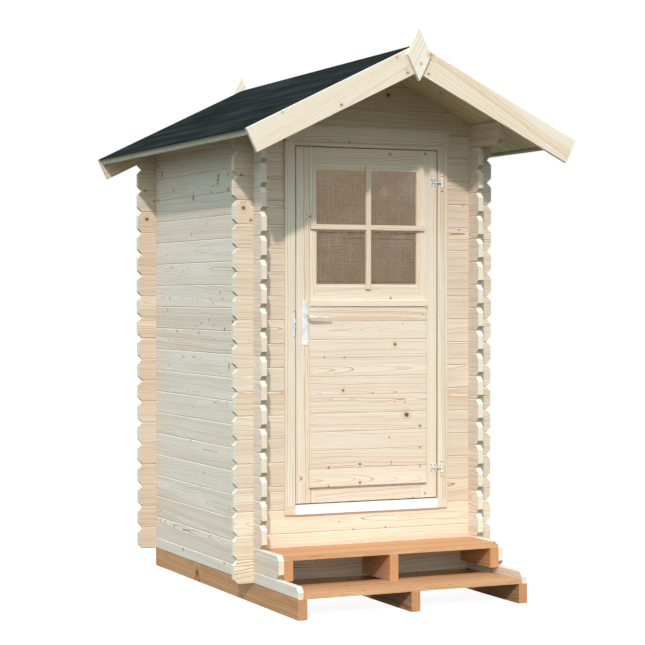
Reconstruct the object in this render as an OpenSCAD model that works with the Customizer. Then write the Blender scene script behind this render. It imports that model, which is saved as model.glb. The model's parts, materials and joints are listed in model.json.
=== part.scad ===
// Small log shed on impregnated joists, with a felted saddle roof, a glazed
// door that opens outwards and two plank steps between the side logs.
// X runs to the right and Y from the front to the back.  The pieces are drawn
// from the middle of the front wall's outer face, at the foot of the walls,
// and seated() moves them to the shed's own frame.

/* [Walls] */
// Width over the outer faces of the side walls
wall_w = 1192; // [1100:1:1500]
// Depth over the outer faces of the front and back walls
wall_d = 1420; // [1000:1:2400]
// Thickness of a log
log_t = 28; // [22:1:36]
// Height that one log covers
log_h = 114; // [100:1:138]
// Logs in the front wall below the gable
log_rows = 18; // [18:1:22]
// Length of a log past the wall that it crosses
log_overrun = 101; // [60:1:160]
// Corner cut off the ends of a log
log_end_cut = 24; // [5:1:26]
// Bevel along the edges of a log
log_bevel = 3.5; // [1:0.5:4]
// Width of the tongue along a log
tongue_w = 9; // [6:1:12]
// Height of the tongue along a log
tongue_h = 7; // [4:1:10]
// Distance of a tongue's end from the cut at the end of a log
tongue_stop = 5; // [2:1:10]
// Bevel along the upright edges at the ends of a log
log_end_bevel = 1; // [1:0.5:6]
// Distance of the half logs' front ends behind the ends of the joists
half_log_set = 3; // [0:1:10]
// Play round a tongue in its groove
tongue_play = 0.5; // [0.2:0.1:1]
// Play beside a log in a corner notch
notch_play = 0.4; // [0.2:0.1:1]

/* [Roof] */
// Slope of the roof in degrees
roof_pitch = 26.1; // [20:0.1:32]
// Reach of the eaves past the side walls, measured level
eave_reach = 256; // [120:1:320]
// Reach of the roof boards past the front wall
front_reach = 524; // [420:1:640]
// Reach of the roof boards past the back wall
back_reach = 180; // [120:1:300]
// Thickness of the roof boards
roof_board_t = 18; // [15:1:22]
// Boards in each roof panel
roof_boards = 6; // [4:1:8]
// Roof panels on each slope
roof_panels = 4; // [2:1:6]
// Thickness of the felt
felt_t = 3; // [2:0.5:5]
// Depth of the eave strip, square to the slope
eave_strip_h = 30; // [20:1:45]
// Thickness of the eave strip
eave_strip_t = 18; // [12:1:25]
// Distance by which the felt stands out over an eave strip
felt_drip = 5; // [2:1:10]
// Depth of a barge board, square to the slope
barge_h = 117; // [90:1:140]
// Thickness of a barge board
barge_t = 20; // [15:1:25]
// Height of a finial
finial_h = 240; // [180:1:300]
// Width of a finial
finial_w = 120; // [90:1:160]
// Distance of a finial's middle below the ridge
finial_drop = 52; // [40:1:60]
// Reach of the top side logs past the front wall
roof_log_reach = 300; // [150:1:400]

/* [Joists and steps] */
// Height of a joist
joist_h = 95; // [70:1:145]
// Width of a joist
joist_w = 45; // [35:1:60]
// Reach of the joists past the front wall
joist_reach = 530; // [440:1:640]
// Distance of the joists' rear ends from the back of the shed
joist_inset = 20; // [0:1:28]
// Height of the cross beams between the joists
cross_beam_h = 70; // [45:1:90]
// Thickness of the step planks
tread_t = 18; // [15:1:28]
// Depth of the lower step plank
lower_tread_d = 295; // [240:1:320]
// Depth of the upper step plank
upper_tread_d = 304; // [240:1:320]
// Height of the upper step's bearers
bearer_h = 95; // [70:1:110]
// Height of the upper step above the lower one
step_rise = 144; // [130:1:170]
// Play at the ends of a step plank
tread_play = 1; // [0.5:0.5:3]

/* [Floor] */
// Top of the floor above the foot of the walls
floor_z = 314; // [200:1:316]
// Thickness of the floor boards
floor_t = 18; // [15:1:28]
// Height of the floor bearers
floor_bearer_h = 95; // [70:1:120]
// Floor bearers
floor_bearers_n = 4; // [3:1:6]
// Floor boards
floor_boards_n = 12; // [8:1:16]
// Play between the floor and the walls
floor_play = 4; // [2:1:10]

/* [Door frame] */
// Bottom of the sill above the foot of the walls
sill_z = 319; // [319:1:330]
// Height of the sill
sill_h = 44; // [35:1:55]
// Width over the jambs
frame_w = 876; // [840:1:900]
// Width of a jamb seen from the front
jamb_w = 52.5; // [45:0.5:60]
// Thickness of the frame's lips on both sides of the logs
lip_t = 15; // [10:1:20]
// Depth of the groove that grips the logs
frame_groove = 15; // [10:1:20]
// Depth of the stop that the door closes against
stop_w = 15; // [10:1:20]
// Height of the board above the door
header_h = 77; // [60:1:90]
// Height of that board above the lower edge of the frame's head
header_lift = 19; // [10:1:25]
// Thickness of the board above the door
header_t = 20; // [15:1:25]
// Room above the frame for the logs to settle
settle_gap = 6; // [3:1:15]
// Thickness of the white threshold strip
strip_t = 3; // [2:0.5:4]

/* [Door] */
// Height of the door leaf
leaf_h = 1714; // [1650:1:1750]
// Thickness of the door leaf
leaf_t = 40; // [33:1:48]
// Running gap round the door leaf
leaf_gap = 5.5; // [5:0.5:8]
// Height of the leaf above the sill
leaf_lift = 9; // [8.5:0.5:14]
// Depth of the leaf's face behind the face of the frame
leaf_set = 3; // [1:1:6]
// Width of a stile
stile_w = 97; // [80:1:110]
// Height of the top rail
top_rail_h = 94; // [70:1:120]
// Height of the middle rail
mid_rail_h = 120; // [90:1:150]
// Height of the bottom rail
bottom_rail_h = 130; // [100:1:180]
// Top of the middle rail above the bottom of the leaf
mid_rail_z = 1043; // [980:1:1100]
// Flutes along the inner edge of a stile
flutes = 3; // [2:1:4]
// Pitch of the flutes
flute_pitch = 8; // [7:0.5:9]
// Half width of the planking
plank_half_w = 315; // [290:1:316]
// Thickness of the planking
plank_t = 18; // [12:1:22]
// Height that one plank covers
plank_h = 89; // [70:0.5:120]
// Bottom of the planking above the bottom of the leaf
plank_z = 74; // [50:1:90]
// Height of the ledge above the planking
ledge_h = 29; // [20:1:40]
// Reach of the ledge past the planking
ledge_reach = 7; // [4:1:12]
// Bottom of the ledge above the bottom of the leaf
ledge_z = 948; // [920:1:960]
// Width of a glazing bead
bead_w = 12; // [8:1:15]
// Width of a glazing bar
bar_w = 24; // [20:1:35]
// Thickness of a glazing bar
bar_t = 14; // [10:1:18]
// Reach of the level glazing bar over the stiles
bar_lap = 23; // [10:1:30]
// Reach of the upright glazing bar over the rails
bar_rail_lap = 12; // [5:1:30]
// Thickness of the glass
glass_t = 4; // [3:1:6]
// Thickness of the cloth behind the glass
cloth_t = 1.5; // [1:0.5:3]

/* [Lock and hinges] */
// Distance of the lock's middle line from the edge of the leaf
backset = 46; // [40:1:50]
// Height of the lever above the bottom of the leaf
lever_z = 900; // [840:1:940]
// Distance from the lever to the lock cylinder
lock_pitch = 72; // [70:1:92]
// Width of a handle plate
plate_w = 38; // [30:1:38]
// Height of a handle plate
plate_h = 213; // [200:1:250]
// Thickness of a handle plate
plate_t = 4; // [3:0.5:5]
// Height of the lever above the lower end of its plate
plate_drop = 138; // [120:1:150]
// Length of the lever from its pivot
lever_l = 109; // [90:1:130]
// Height of the lever at its neck
lever_h = 12; // [10:1:20]
// Distance of the lever's back from its plate
lever_stand = 50; // [30:1:60]
// Thickness of the lever's blade
lever_t = 14; // [10:1:16]
// Radius of the lever's neck
neck_r = 6; // [6:0.5:9]
// Play round the lever's neck
neck_play = 0.5; // [0.3:0.1:1]
// Width of the lever's square spindle
spindle_w = 8; // [7:1:9]
// Distance of the hinge pins from the edge of the leaf
hinge_out = 23; // [20:1:26]
// Distance of the hinge pins from the face of the frame
hinge_stand = 11; // [10:0.5:14]
// Radius of a hinge pin
pin_r = 3; // [3:0.5:4]
// Radius of a hinge knuckle
knuckle_r = 5; // [4.5:0.5:7]
// Height of a hinge over its knuckles
hinge_h = 62; // [56:1:76]
// Height of the lower hinge's middle above the bottom of the leaf
low_hinge_z = 147; // [120:1:200]
// Distance of the upper hinge's middle from the top of the leaf
high_hinge_drop = 153; // [120:1:200]
// Running play in a hinge knuckle
pin_play = 0.1; // [0.05:0.05:0.3]

/* [Hidden] */

pine = [0.93, 0.86, 0.72];
pine_shade = [0.86, 0.78, 0.64];
treated = [0.80, 0.60, 0.40];
felt_black = [0.22, 0.22, 0.24];
steel = [0.76, 0.79, 0.82];

// walls
half_w = wall_w / 2;
half_log = log_h / 2;
notch_d = log_h / 4;
side_rows = log_rows + 1;
side_top = half_log + side_rows * log_h;
corners_x = [-half_w, half_w - log_t];
corners_y = [0, wall_d - log_t];

// roof: the underside of the boards lies on the middle of the side walls' tops
rise = tan(roof_pitch);
roof_seat = 0.05;
function roof_under(x) = side_top + (half_w - log_t / 2 - abs(x)) * rise;
ridge_under = roof_under(0);
ridge_top = ridge_under + roof_seat + (roof_board_t + felt_t) / cos(roof_pitch);
eave_x = half_w + eave_reach;
slope_l = eave_x / cos(roof_pitch);
roof_y0 = -front_reach;
roof_y1 = wall_d + back_reach;
board_bevel = 3;
panel_gap = 0.6;
mitre_gap = 0.3;
min_top_log = 20;
gable_rows = ceil((ridge_under - log_rows * log_h - min_top_log) / log_h);
front_rows = log_rows + gable_rows;
gable_feather = 4;
felt_seat = 0.02;

// the whole shed, from the front finial to the back one
whole_y0 = roof_y0 - 2 * barge_t;
whole_y1 = roof_y1 + 2 * barge_t;

// door frame and doorway in the logs
frame_y0 = -lip_t;
frame_y1 = log_t + lip_t;
log_grip = 0.3;
log_end_play = 2;
door_cut_x = frame_w / 2 - frame_groove + log_end_play;
sill_top = sill_z + sill_h;
door_cut_z = sill_z + frame_groove - 1;
inner_w = frame_w - 2 * jamb_w;
leaf_w = inner_w - 2 * leaf_gap;
leaf_z = sill_top + leaf_lift;
head_z = leaf_z + leaf_h + leaf_gap;
frame_top = head_z + jamb_w;
lintel_cut_z = frame_top + settle_gap;
header_z = head_z + header_lift;
first_side_row = ceil(door_cut_z / log_h);
lintel_row = floor(lintel_cut_z / log_h);

// door leaf
leaf_y = frame_y0 + leaf_set;
leaf_back = leaf_y + leaf_t;
stop_y = leaf_back + leaf_gap;
stile_in = leaf_w / 2 - stile_w;
glass_z0 = leaf_z + mid_rail_z;
glass_z1 = leaf_z + leaf_h - top_rail_h;
bead_set = 4;
bead_d = 12;
glass_y = leaf_y + bead_set + bead_d;
glass_play = 2;
flute_w = 5;
flute_d = 2.5;

// lock and hinges
lock_x = -leaf_w / 2 + backset;
lock_z = leaf_z + lever_z;
spindle_hole_r = 9;
cylinder_r = 8.5;
cylinder_w = 10;
cylinder_h = 33;
cylinder_play = 0.3;
cylinder_stand = 4;
hinge_x = leaf_w / 2 + hinge_out;
hinge_y = frame_y0 - hinge_stand;
hinge_zs = [leaf_z + low_hinge_z, leaf_z + leaf_h - high_hinge_drop];
hinge_plate_w = 36;
hinge_plate_h = 40;
hinge_plate_t = 3;
hinge_arm_r = 4.5;
hinge_arm_inset = 7;
hinge_web_t = 6;
hinge_open_h = 17;
hinge_cap_r = 5.5;
knuckle_h = 26;
knuckle_gap = 0.5;
strike_h = 108;
strike_leg = 10;
strike_depth = 24;
strike_t = 1.5;
strike_play = 0.1;
strike_drop = 38;
strike_z = lock_z - strike_drop;
plate_corner = 3;
plank_bevel = 2;
ledge_bevel = 4;
floor_bevel = 1.5;
tip = 0.01;

module seated() {
    translate([0, -(whole_y0 + whole_y1) / 2, joist_h]) children();
}

// ---------------------------------------------------------------- logs

// section of a log: bevelled edges and a tongue on top
module log_section(h, tongue) {
    m = log_t / 2;
    a = tongue_w / 2;
    top = tongue ? [[m - a, h], [m - a + 1, h + tongue_h], [m + a - 1, h + tongue_h], [m + a, h]] : [];
    polygon(concat([[0, log_bevel], [0, h - log_bevel], [log_bevel, h]], top,
                   [[log_t - log_bevel, h], [log_t, h - log_bevel], [log_t, log_bevel],
                    [log_t - log_bevel, 0], [log_bevel, 0]]));
}

// section of the groove below a log
module groove_section() {
    m = log_t / 2;
    b = tongue_w / 2 + tongue_play;
    top = tongue_h + tongue_play;
    polygon([[m - b, -1], [m - b, 0], [m - b + 1, top], [m + b - 1, top], [m + b, 0], [m + b, -1]]);
}

// side view of a log from x0 to x1: end cuts, a notch at each crossing wall, and
// the tongue, which rises by lift between the two places in grip
module log_outline(x0, x1, h, cross, cuts, notch_low, notch_high, lift, grip) {
    w = log_t + notch_play;
    low0 = cuts[0] > 0 ? [[x0, cuts[0]], [x0 + cuts[0], 0]] : [[x0, 0]];
    low1 = cuts[1] > 0 ? [[x1 - cuts[1], 0], [x1, cuts[1]]] : [[x1, 0]];
    high1 = cuts[2] > 0 ? [[x1, h - cuts[2]], [x1 - cuts[2], h]] : [];
    high0 = cuts[3] > 0 ? [[x0 + cuts[3], h], [x0, h - cuts[3]]] : [];
    tongue1 = lift > 0 ? concat(cuts[2] > 0 ? [[grip[1], h]] : [], [[grip[1], h + lift]]) : cuts[2] > 0 ? [] : [[x1, h]];
    tongue0 = lift > 0 ? concat([[grip[0], h + lift]], cuts[3] > 0 ? [[grip[0], h]] : []) : cuts[3] > 0 ? [] : [[x0, h]];
    low = [for (a = cross) if (notch_low)
           each [[a - notch_play, 0], [a - notch_play, notch_d], [a + w, notch_d], [a + w, 0]]];
    high = [for (i = [len(cross) - 1:-1:0]) if (notch_high)
            each [[cross[i] + w, h + lift], [cross[i] + w, h - notch_d],
                  [cross[i] - notch_play, h - notch_d], [cross[i] - notch_play, h + lift]]];
    polygon(concat(low0, low, low1, high1, tongue1, high, tongue0, high0));
}

// a log from above: its upright edges are bevelled at cut ends
module log_plan(x0, x1, cut0, cut1) {
    e = log_end_bevel;
    polygon(concat(cut0 ? [[x0 + e, 0], [x0, e], [x0, log_t - e], [x0 + e, log_t]] : [[x0, 0], [x0, log_t]],
                   cut1 ? [[x1 - e, log_t], [x1, log_t - e], [x1, e], [x1 - e, 0]] : [[x1, log_t], [x1, 0]]));
}

// range of a tongue or groove between the ends of a log, short of the ends that are cut
function grip_range(x0, x1, cut0, cut1) = [x0 + (cut0 ? log_end_cut + tongue_stop : 0),
                                           x1 - (cut1 ? log_end_cut + tongue_stop : 0)];

// one log along X with its outer face at Y = 0 and its foot at z; high_grip and low_grip
// shorten its tongue and groove where the next log is shorter
module log_piece(x0, x1, z, h, cross, cuts = [1, 1, 1, 1], notch_low = true, notch_high = true,
                 tongue = true, groove = true, high_grip = undef, low_grip = undef) {
    lift = tongue ? tongue_h : 0;
    grip = is_undef(high_grip) ? grip_range(x0, x1, cuts[3] > 0, cuts[2] > 0) : high_grip;
    hold = is_undef(low_grip) ? grip_range(x0, x1, cuts[0] > 0, cuts[1] > 0) : low_grip;
    play0 = cuts[0] > 0 ? tongue_play : 1;
    play1 = cuts[1] > 0 ? tongue_play : 1;
    translate([0, 0, z]) difference() {
        intersection() {
            rotate([90, 0, 90]) translate([0, 0, x0]) linear_extrude(x1 - x0) log_section(h, tongue);
            translate([0, log_t + 1, 0]) rotate([90, 0, 0]) linear_extrude(log_t + 2)
                log_outline(x0, x1, h, cross, cuts * log_end_cut, notch_low, notch_high, lift, grip);
            translate([0, 0, -1]) linear_extrude(h + lift + 2)
                log_plan(x0, x1, cuts[0] + cuts[3] > 0, cuts[1] + cuts[2] > 0);
        }
        if (groove) rotate([90, 0, 90]) translate([0, 0, hold[0] - play0])
            linear_extrude(hold[1] - hold[0] + play0 + play1) groove_section();
    }
}

// everything below the underside of the roof boards
module under_roof() {
    far = eave_x + 200;
    translate([0, roof_y1, 0]) rotate([90, 0, 0]) linear_extrude(roof_y1 - roof_y0)
        polygon([[-far, roof_under(far)], [0, ridge_under], [far, roof_under(far)], [far, -10], [-far, -10]]);
}

// half length of a gable log whose foot is at z
function gable_half(z) = half_w - log_t / 2 + (side_top - z - gable_feather) / rise;

// full log k of the front or back wall
module end_wall_log(k) {
    z = k * log_h;
    end_x = half_w + log_overrun;
    last = k == front_rows - 1;
    if (k < log_rows)
        log_piece(-end_x, end_x, z, log_h, corners_x, groove = k > 0);
    else if (k == log_rows)
        intersection() {
            log_piece(-end_x, end_x, z, log_h, corners_x);
            under_roof();
        }
    else
        intersection() {
            log_piece(-gable_half(z), gable_half(z), z, last ? ridge_under - z : log_h,
                      k == log_rows + 1 ? corners_x : [], [0, 0, 0, 0],
                      notch_high = false, tongue = !last);
            under_roof();
        }
}

// front end of side log j; log -1 is the half log on the joist
function side_front(j) = j < 0 ? -joist_reach + half_log_set : j == 0 ? -upper_tread_d
                       : j == side_rows - 1 ? -roof_log_reach : -log_overrun;
side_back = wall_d + log_overrun;

// range of the tongue between side logs j and j + 1
function side_grip(j) = grip_range(max(side_front(j), side_front(j + 1)), side_back, true, true);

module side_wall_log(j) {
    z = j < 0 ? 0 : half_log + j * log_h;
    translate([log_t, 0, 0]) rotate([0, 0, 90])
        if (j < 0)
            log_piece(side_front(j), side_back, z, half_log, corners_y, [0, 0, 1, 1], notch_low = false,
                      groove = false, high_grip = side_grip(j));
        else
            log_piece(side_front(j), side_back, z, log_h, corners_y, tongue = j < side_rows - 1,
                      high_grip = side_grip(j), low_grip = side_grip(j - 1));
}

module side_wall(x, first) {
    color(pine) translate([x, 0, 0])
        for (j = [first:2:side_rows - 2]) side_wall_log(j);
    if ((side_rows - 1 - first) % 2 == 0)
        color(pine) intersection() {
            translate([x, 0, 0]) side_wall_log(side_rows - 1);
            under_roof();
        }
}

module left_wall_logs_a() { seated() side_wall(-half_w, -1); }
module left_wall_logs_b() { seated() side_wall(-half_w, 0); }
module right_wall_logs_a() { seated() side_wall(half_w - log_t, -1); }
module right_wall_logs_b() { seated() side_wall(half_w - log_t, 0); }

module back_wall(first) {
    color(pine) seated() translate([0, wall_d - log_t, 0])
        for (k = [first:2:front_rows - 1]) end_wall_log(k);
}

module back_wall_logs_a() { back_wall(0); }
module back_wall_logs_b() { back_wall(1); }

// room that the door frame takes in the front wall's logs
module doorway() {
    translate([-door_cut_x, -1, door_cut_z])
        cube([2 * door_cut_x, log_t + 2, lintel_cut_z - door_cut_z]);
    translate([-frame_w / 2 - 1, -1, door_cut_z])
        cube([frame_w + 2, log_t + 2, sill_top + 1 - door_cut_z]);
}

module front_base_logs(first) {
    color(pine) seated() for (k = [first:2:first_side_row - 1]) difference() {
        end_wall_log(k);
        doorway();
    }
}

module front_base_logs_a() { front_base_logs(0); }
module front_base_logs_b() { front_base_logs(1); }

// the short logs on both sides of the door frame
module front_side_logs(first) {
    end_x = half_w + log_overrun;
    color(pine) seated() for (k = [first:2:lintel_row - 1], s = [0, 1]) mirror([s, 0, 0]) difference() {
        log_piece(-end_x, -door_cut_x, k * log_h, log_h, [-half_w], [1, 0, 0, 1]);
        if (k * log_h < sill_top + 1) doorway();
    }
}

module front_side_logs_a() { front_side_logs(first_side_row); }
module front_side_logs_b() { front_side_logs(first_side_row + 1); }

module front_lintel_log() {
    color(pine) seated() difference() {
        end_wall_log(lintel_row);
        doorway();
    }
}

module front_gable_logs(first) {
    color(pine) seated() for (k = [first:2:front_rows - 1]) end_wall_log(k);
}

module front_gable_logs_a() { front_gable_logs(lintel_row + 1); }
module front_gable_logs_b() { front_gable_logs(lintel_row + 2); }

// ---------------------------------------------------------------- joists, steps and floor

joist_x = [-half_w, -joist_w / 2, half_w - joist_w];
joist_y1 = wall_d - joist_inset;

module joists() {
    color(treated) seated() for (x = joist_x)
        translate([x, -joist_reach, -joist_h]) cube([joist_w, joist_reach + joist_y1, joist_h]);
}

module cross_beams() {
    bay = half_w - 1.5 * joist_w;
    color(treated) seated() for (s = [0, 1], y = [0, joist_y1 - joist_w]) mirror([s, 0, 0])
        translate([joist_w / 2, y, -cross_beam_h]) cube([bay, joist_w, cross_beam_h]);
}

tread_w = wall_w - 2 * log_t - 2 * tread_play;

module lower_tread() {
    color(treated) seated() translate([-tread_w / 2, -joist_reach, 0]) cube([tread_w, lower_tread_d, tread_t]);
}

module upper_tread() {
    color(treated) seated() translate([-tread_w / 2, -upper_tread_d, step_rise])
        cube([tread_w, upper_tread_d, tread_t]);
}

// the outer bearers hang on the side logs, the middle one stands on the lower step
module step_bearers() {
    color(treated) seated() {
        for (s = [0, 1]) mirror([s, 0, 0])
            translate([half_w - log_t - joist_w, -upper_tread_d, step_rise - bearer_h])
                cube([joist_w, upper_tread_d, bearer_h]);
        translate([-joist_w / 2, -upper_tread_d, tread_t])
            cube([joist_w, upper_tread_d, step_rise - tread_t]);
    }
}

module floor_bearers() {
    span = wall_w - 2 * log_t;
    room = wall_d - 2 * log_t - joist_w;
    color(treated) seated() for (i = [0:floor_bearers_n - 1])
        translate([-span / 2, log_t + i * room / (floor_bearers_n - 1), floor_z - floor_t - floor_bearer_h])
            cube([span, joist_w, floor_bearer_h]);
}

// a row of boards side by side along x, thickness h, bevelled along each joint on top
module board_row(n, cover, h, bevel) {
    polygon(concat([[0, 0], [0, h - bevel], [bevel, h]],
                   [for (i = [1:n - 1]) each [[i * cover - bevel, h], [i * cover, h - bevel], [i * cover + bevel, h]]],
                   [[n * cover - bevel, h], [n * cover, h - bevel], [n * cover, 0]]));
}

module floor_boards() {
    w = wall_w - 2 * log_t - 2 * floor_play;
    d = wall_d - 2 * log_t - 2 * floor_play;
    color(pine_shade) seated() translate([-w / 2, log_t + floor_play + d, floor_z - floor_t])
        rotate([90, 0, 0]) linear_extrude(d) board_row(floor_boards_n, w / floor_boards_n, floor_t, floor_bevel);
}

// ---------------------------------------------------------------- roof

// children are drawn on the right slope: x down the slope from the ridge, z up from the felt's top
module on_slope(left) {
    mirror([left ? 1 : 0, 0, 0]) translate([0, 0, ridge_top]) rotate([0, roof_pitch, 0]) children();
}

module roof_boards_on(left) {
    panel_l = (roof_y1 - roof_y0) / roof_panels;
    run = slope_l - felt_drip - eave_strip_t;
    back = 2 * roof_board_t;
    color(pine_shade) seated() difference() {
        on_slope(left) for (i = [0:roof_panels - 1])
            translate([-back, roof_y0 + i * panel_l + panel_gap / 2, -felt_t - felt_seat])
                rotate([180, 0, 0]) rotate([90, 0, 90]) linear_extrude(run + back) mirror([1, 0])
                    board_row(roof_boards, (panel_l - panel_gap) / roof_boards, roof_board_t, board_bevel);
        mirror([left ? 1 : 0, 0, 0]) translate([mitre_gap - 200, roof_y0 - 1, ridge_under - 300])
            cube([200, roof_y1 - roof_y0 + 2, 600]);
    }
}

module roof_boards_left() { roof_boards_on(true); }
module roof_boards_right() { roof_boards_on(false); }

module eave_strips() {
    strip_l = (roof_y1 - roof_y0) / roof_panels;
    color(pine) seated() for (left = [false, true], i = [0:roof_panels - 1]) on_slope(left)
        translate([slope_l - felt_drip - eave_strip_t, roof_y0 + i * strip_l + panel_gap / 2, -felt_t - felt_seat - eave_strip_h])
            cube([eave_strip_t, strip_l - panel_gap, eave_strip_h]);
}

// point on the right slope, x down from the ridge and z below the top of the felt
function slope_point(x, z) = [x * cos(roof_pitch) - z * sin(roof_pitch), ridge_top - x * sin(roof_pitch) - z * cos(roof_pitch)];

// the felt runs on over the tops of the back barge boards
module roof_felt() {
    e0 = slope_point(slope_l, 0);
    e1 = slope_point(slope_l, felt_t);
    apex = ridge_top - felt_t / cos(roof_pitch);
    color(felt_black) seated() translate([0, roof_y1 + barge_t, 0]) rotate([90, 0, 0])
        linear_extrude(roof_y1 + barge_t - roof_y0)
        polygon([[0, ridge_top], e0, e1, [0, apex], [-e1[0], e1[1]], [-e0[0], e0[1]]]);
}

// drop is how far the boards' top edges lie below the felt's top
module barge_pair(y, drop) {
    e0 = slope_point(slope_l, drop);
    e1 = slope_point(slope_l, barge_h);
    color(pine) for (s = [0, 1]) mirror([s, 0, 0]) translate([0, y + barge_t, 0])
        rotate([90, 0, 0]) linear_extrude(barge_t)
            polygon([[mitre_gap, ridge_top - drop / cos(roof_pitch) - mitre_gap * rise], e0, e1,
                     [mitre_gap, ridge_top - barge_h / cos(roof_pitch) - mitre_gap * rise]]);
}

module front_barge_boards() { seated() barge_pair(roof_y0 - barge_t, 0); }
module back_barge_boards() { seated() barge_pair(roof_y1, felt_t + felt_seat); }

module finials() {
    mid_z = ridge_top - finial_drop;
    color(pine) seated() for (y = [whole_y0, whole_y1 - barge_t])
        translate([0, y + barge_t, mid_z]) rotate([90, 0, 0]) linear_extrude(barge_t)
            polygon([[0, -finial_h / 2], [finial_w / 2, 0], [0, finial_h / 2], [-finial_w / 2, 0]]);
}

// ---------------------------------------------------------------- door frame

// the sill straddles the log below it
module frame_sill() {
    color(pine) seated() difference() {
        translate([-frame_w / 2, frame_y0, sill_z]) cube([frame_w, frame_y1 - frame_y0, sill_h]);
        translate([-frame_w / 2 - 1, -log_grip, sill_z - 1]) cube([frame_w + 2, log_t + 2 * log_grip, frame_groove + 1]);
    }
}

module jamb_section() {
    out = frame_w / 2;
    in = out - jamb_w;
    g = out - frame_groove;
    polygon([[in, frame_y0], [out, frame_y0], [out, -log_grip], [g, -log_grip], [g, log_t + log_grip],
             [out, log_t + log_grip], [out, frame_y1 + stop_y - log_t], [in - stop_w, frame_y1 + stop_y - log_t],
             [in - stop_w, stop_y], [in, stop_y]]);
}

module frame_jambs() {
    color(pine) seated() for (s = [0, 1]) difference() {
        mirror([s, 0, 0]) translate([0, 0, sill_top]) linear_extrude(frame_top - sill_top) jamb_section();
        strike_angle(strike_play);
    }
}

module frame_head() {
    back = frame_y1 + stop_y - log_t;
    color(pine) seated() {
        translate([-inner_w / 2, frame_y0, head_z]) cube([inner_w, stop_y - frame_y0, jamb_w]);
        translate([-inner_w / 2 + stop_w, stop_y - tip, head_z - stop_w])
            cube([inner_w - 2 * stop_w, back - stop_y + tip, jamb_w + stop_w]);
    }
}

module header_board() {
    color(pine) seated() translate([-frame_w / 2 - 2, frame_y0 - header_t, header_z])
        cube([frame_w + 4, header_t, header_h]);
}

// white strip over the sill's front and top, between the jambs
module threshold_strip() {
    w = inner_w - 2;
    color("white") seated() translate([-w / 2, 0, 0]) rotate([90, 0, 90]) linear_extrude(w)
        polygon([[frame_y0 - strip_t, sill_z], [frame_y0, sill_z], [frame_y0, sill_top], [stop_y, sill_top],
                 [stop_y, sill_top + strip_t], [frame_y0 - strip_t, sill_top + strip_t]]);
}

// ---------------------------------------------------------------- door leaf

// euro profile, used for the lock cylinder and the holes it passes
module cylinder_section(play) {
    circle(r = cylinder_r + play, $fn = 48);
    translate([-cylinder_w / 2 - play, -cylinder_h + cylinder_r - play])
        square([cylinder_w + 2 * play, cylinder_h - cylinder_r]);
}

// stile section with flutes along the inner edge; x from the inner edge outwards
module stile_section() {
    f = flute_w / 2;
    flute_x = [for (i = [0:flutes - 1]) flute_pitch / 2 + i * flute_pitch];
    polygon(concat([[0, leaf_t], [0, 0]],
                   [for (x = flute_x) each [[x - f, 0], [x - f * 0.6, flute_d * 0.8], [x, flute_d],
                                            [x + f * 0.6, flute_d * 0.8], [x + f, 0]]],
                   [[stile_w, 0], [stile_w, leaf_t]]));
}

module door_stiles() {
    color(pine) seated() {
        translate([stile_in, leaf_y, leaf_z]) linear_extrude(leaf_h) stile_section();
        difference() {
            mirror([1, 0, 0]) translate([stile_in, leaf_y, leaf_z]) linear_extrude(leaf_h) stile_section();
            translate([lock_x, leaf_back + 1, lock_z]) rotate([90, 0, 0])
                cylinder(r = spindle_hole_r, h = leaf_t + 2, $fn = 48);
            translate([lock_x, leaf_back + 1, lock_z - lock_pitch]) rotate([90, 0, 0])
                linear_extrude(leaf_t + 2) cylinder_section(cylinder_play);
        }
    }
}

module door_rails() {
    color(pine) seated() {
        for (r = [[0, bottom_rail_h], [mid_rail_z - mid_rail_h, mid_rail_h], [leaf_h - top_rail_h, top_rail_h]])
            translate([-stile_in, leaf_y, leaf_z + r[0]]) cube([2 * stile_in, leaf_t, r[1]]);
    }
}

// horizontal planks nailed over the lower half of the leaf, bevelled at their joints
module door_planks() {
    h = ledge_z - plank_z;
    n = ceil(h / plank_h);
    bevel = plank_bevel;
    cover = [for (i = [1:n - 1]) i * plank_h];
    color(pine) seated() translate([-plank_half_w, leaf_y, leaf_z + plank_z]) rotate([90, 0, 90])
        linear_extrude(2 * plank_half_w)
            polygon(concat([[0, 0], [-plank_t + bevel, 0], [-plank_t, bevel]],
                           [for (z = cover) each [[-plank_t, z - bevel], [-plank_t + bevel, z], [-plank_t, z + bevel]]],
                           [[-plank_t, h], [0, h]]));
}

module door_ledge() {
    color(pine) seated() translate([-plank_half_w, leaf_y, leaf_z + ledge_z]) rotate([90, 0, 90])
        linear_extrude(2 * plank_half_w)
            polygon([[0, 0], [-plank_t - ledge_reach, 0], [-plank_t - ledge_reach, ledge_h - ledge_bevel],
                     [-plank_t - ledge_reach + ledge_bevel, ledge_h], [0, ledge_h]]);
}

// strips round the glass, in front of it and behind the cloth
module glazing_beads() {
    z0 = glass_z0;
    z1 = glass_z1;
    back_y = glass_y + glass_t + cloth_t + 0.6;
    color(pine) seated() for (y = [[leaf_y + bead_set, bead_d - 0.3], [back_y, leaf_back - 3 - back_y]]) {
        for (z = [z0, z1 - bead_w]) translate([-stile_in, y[0], z]) cube([2 * stile_in, y[1], bead_w]);
        for (s = [0, 1]) mirror([s, 0, 0])
            translate([stile_in - bead_w, y[0], z0 + bead_w + 0.3]) cube([bead_w, y[1], z1 - z0 - 2 * bead_w - 0.6]);
    }
}

module door_glass() {
    w = 2 * (stile_in - glass_play);
    color([0.75, 0.82, 0.85, 0.4]) seated() translate([-w / 2, glass_y, glass_z0 + glass_play])
        cube([w, glass_t, glass_z1 - glass_z0 - 2 * glass_play]);
}

module door_cloth() {
    w = 2 * (stile_in - glass_play);
    color([0.55, 0.48, 0.40]) seated() translate([-w / 2, glass_y + glass_t + 0.3, glass_z0 + glass_play])
        cube([w, cloth_t, glass_z1 - glass_z0 - 2 * glass_play]);
}

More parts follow.
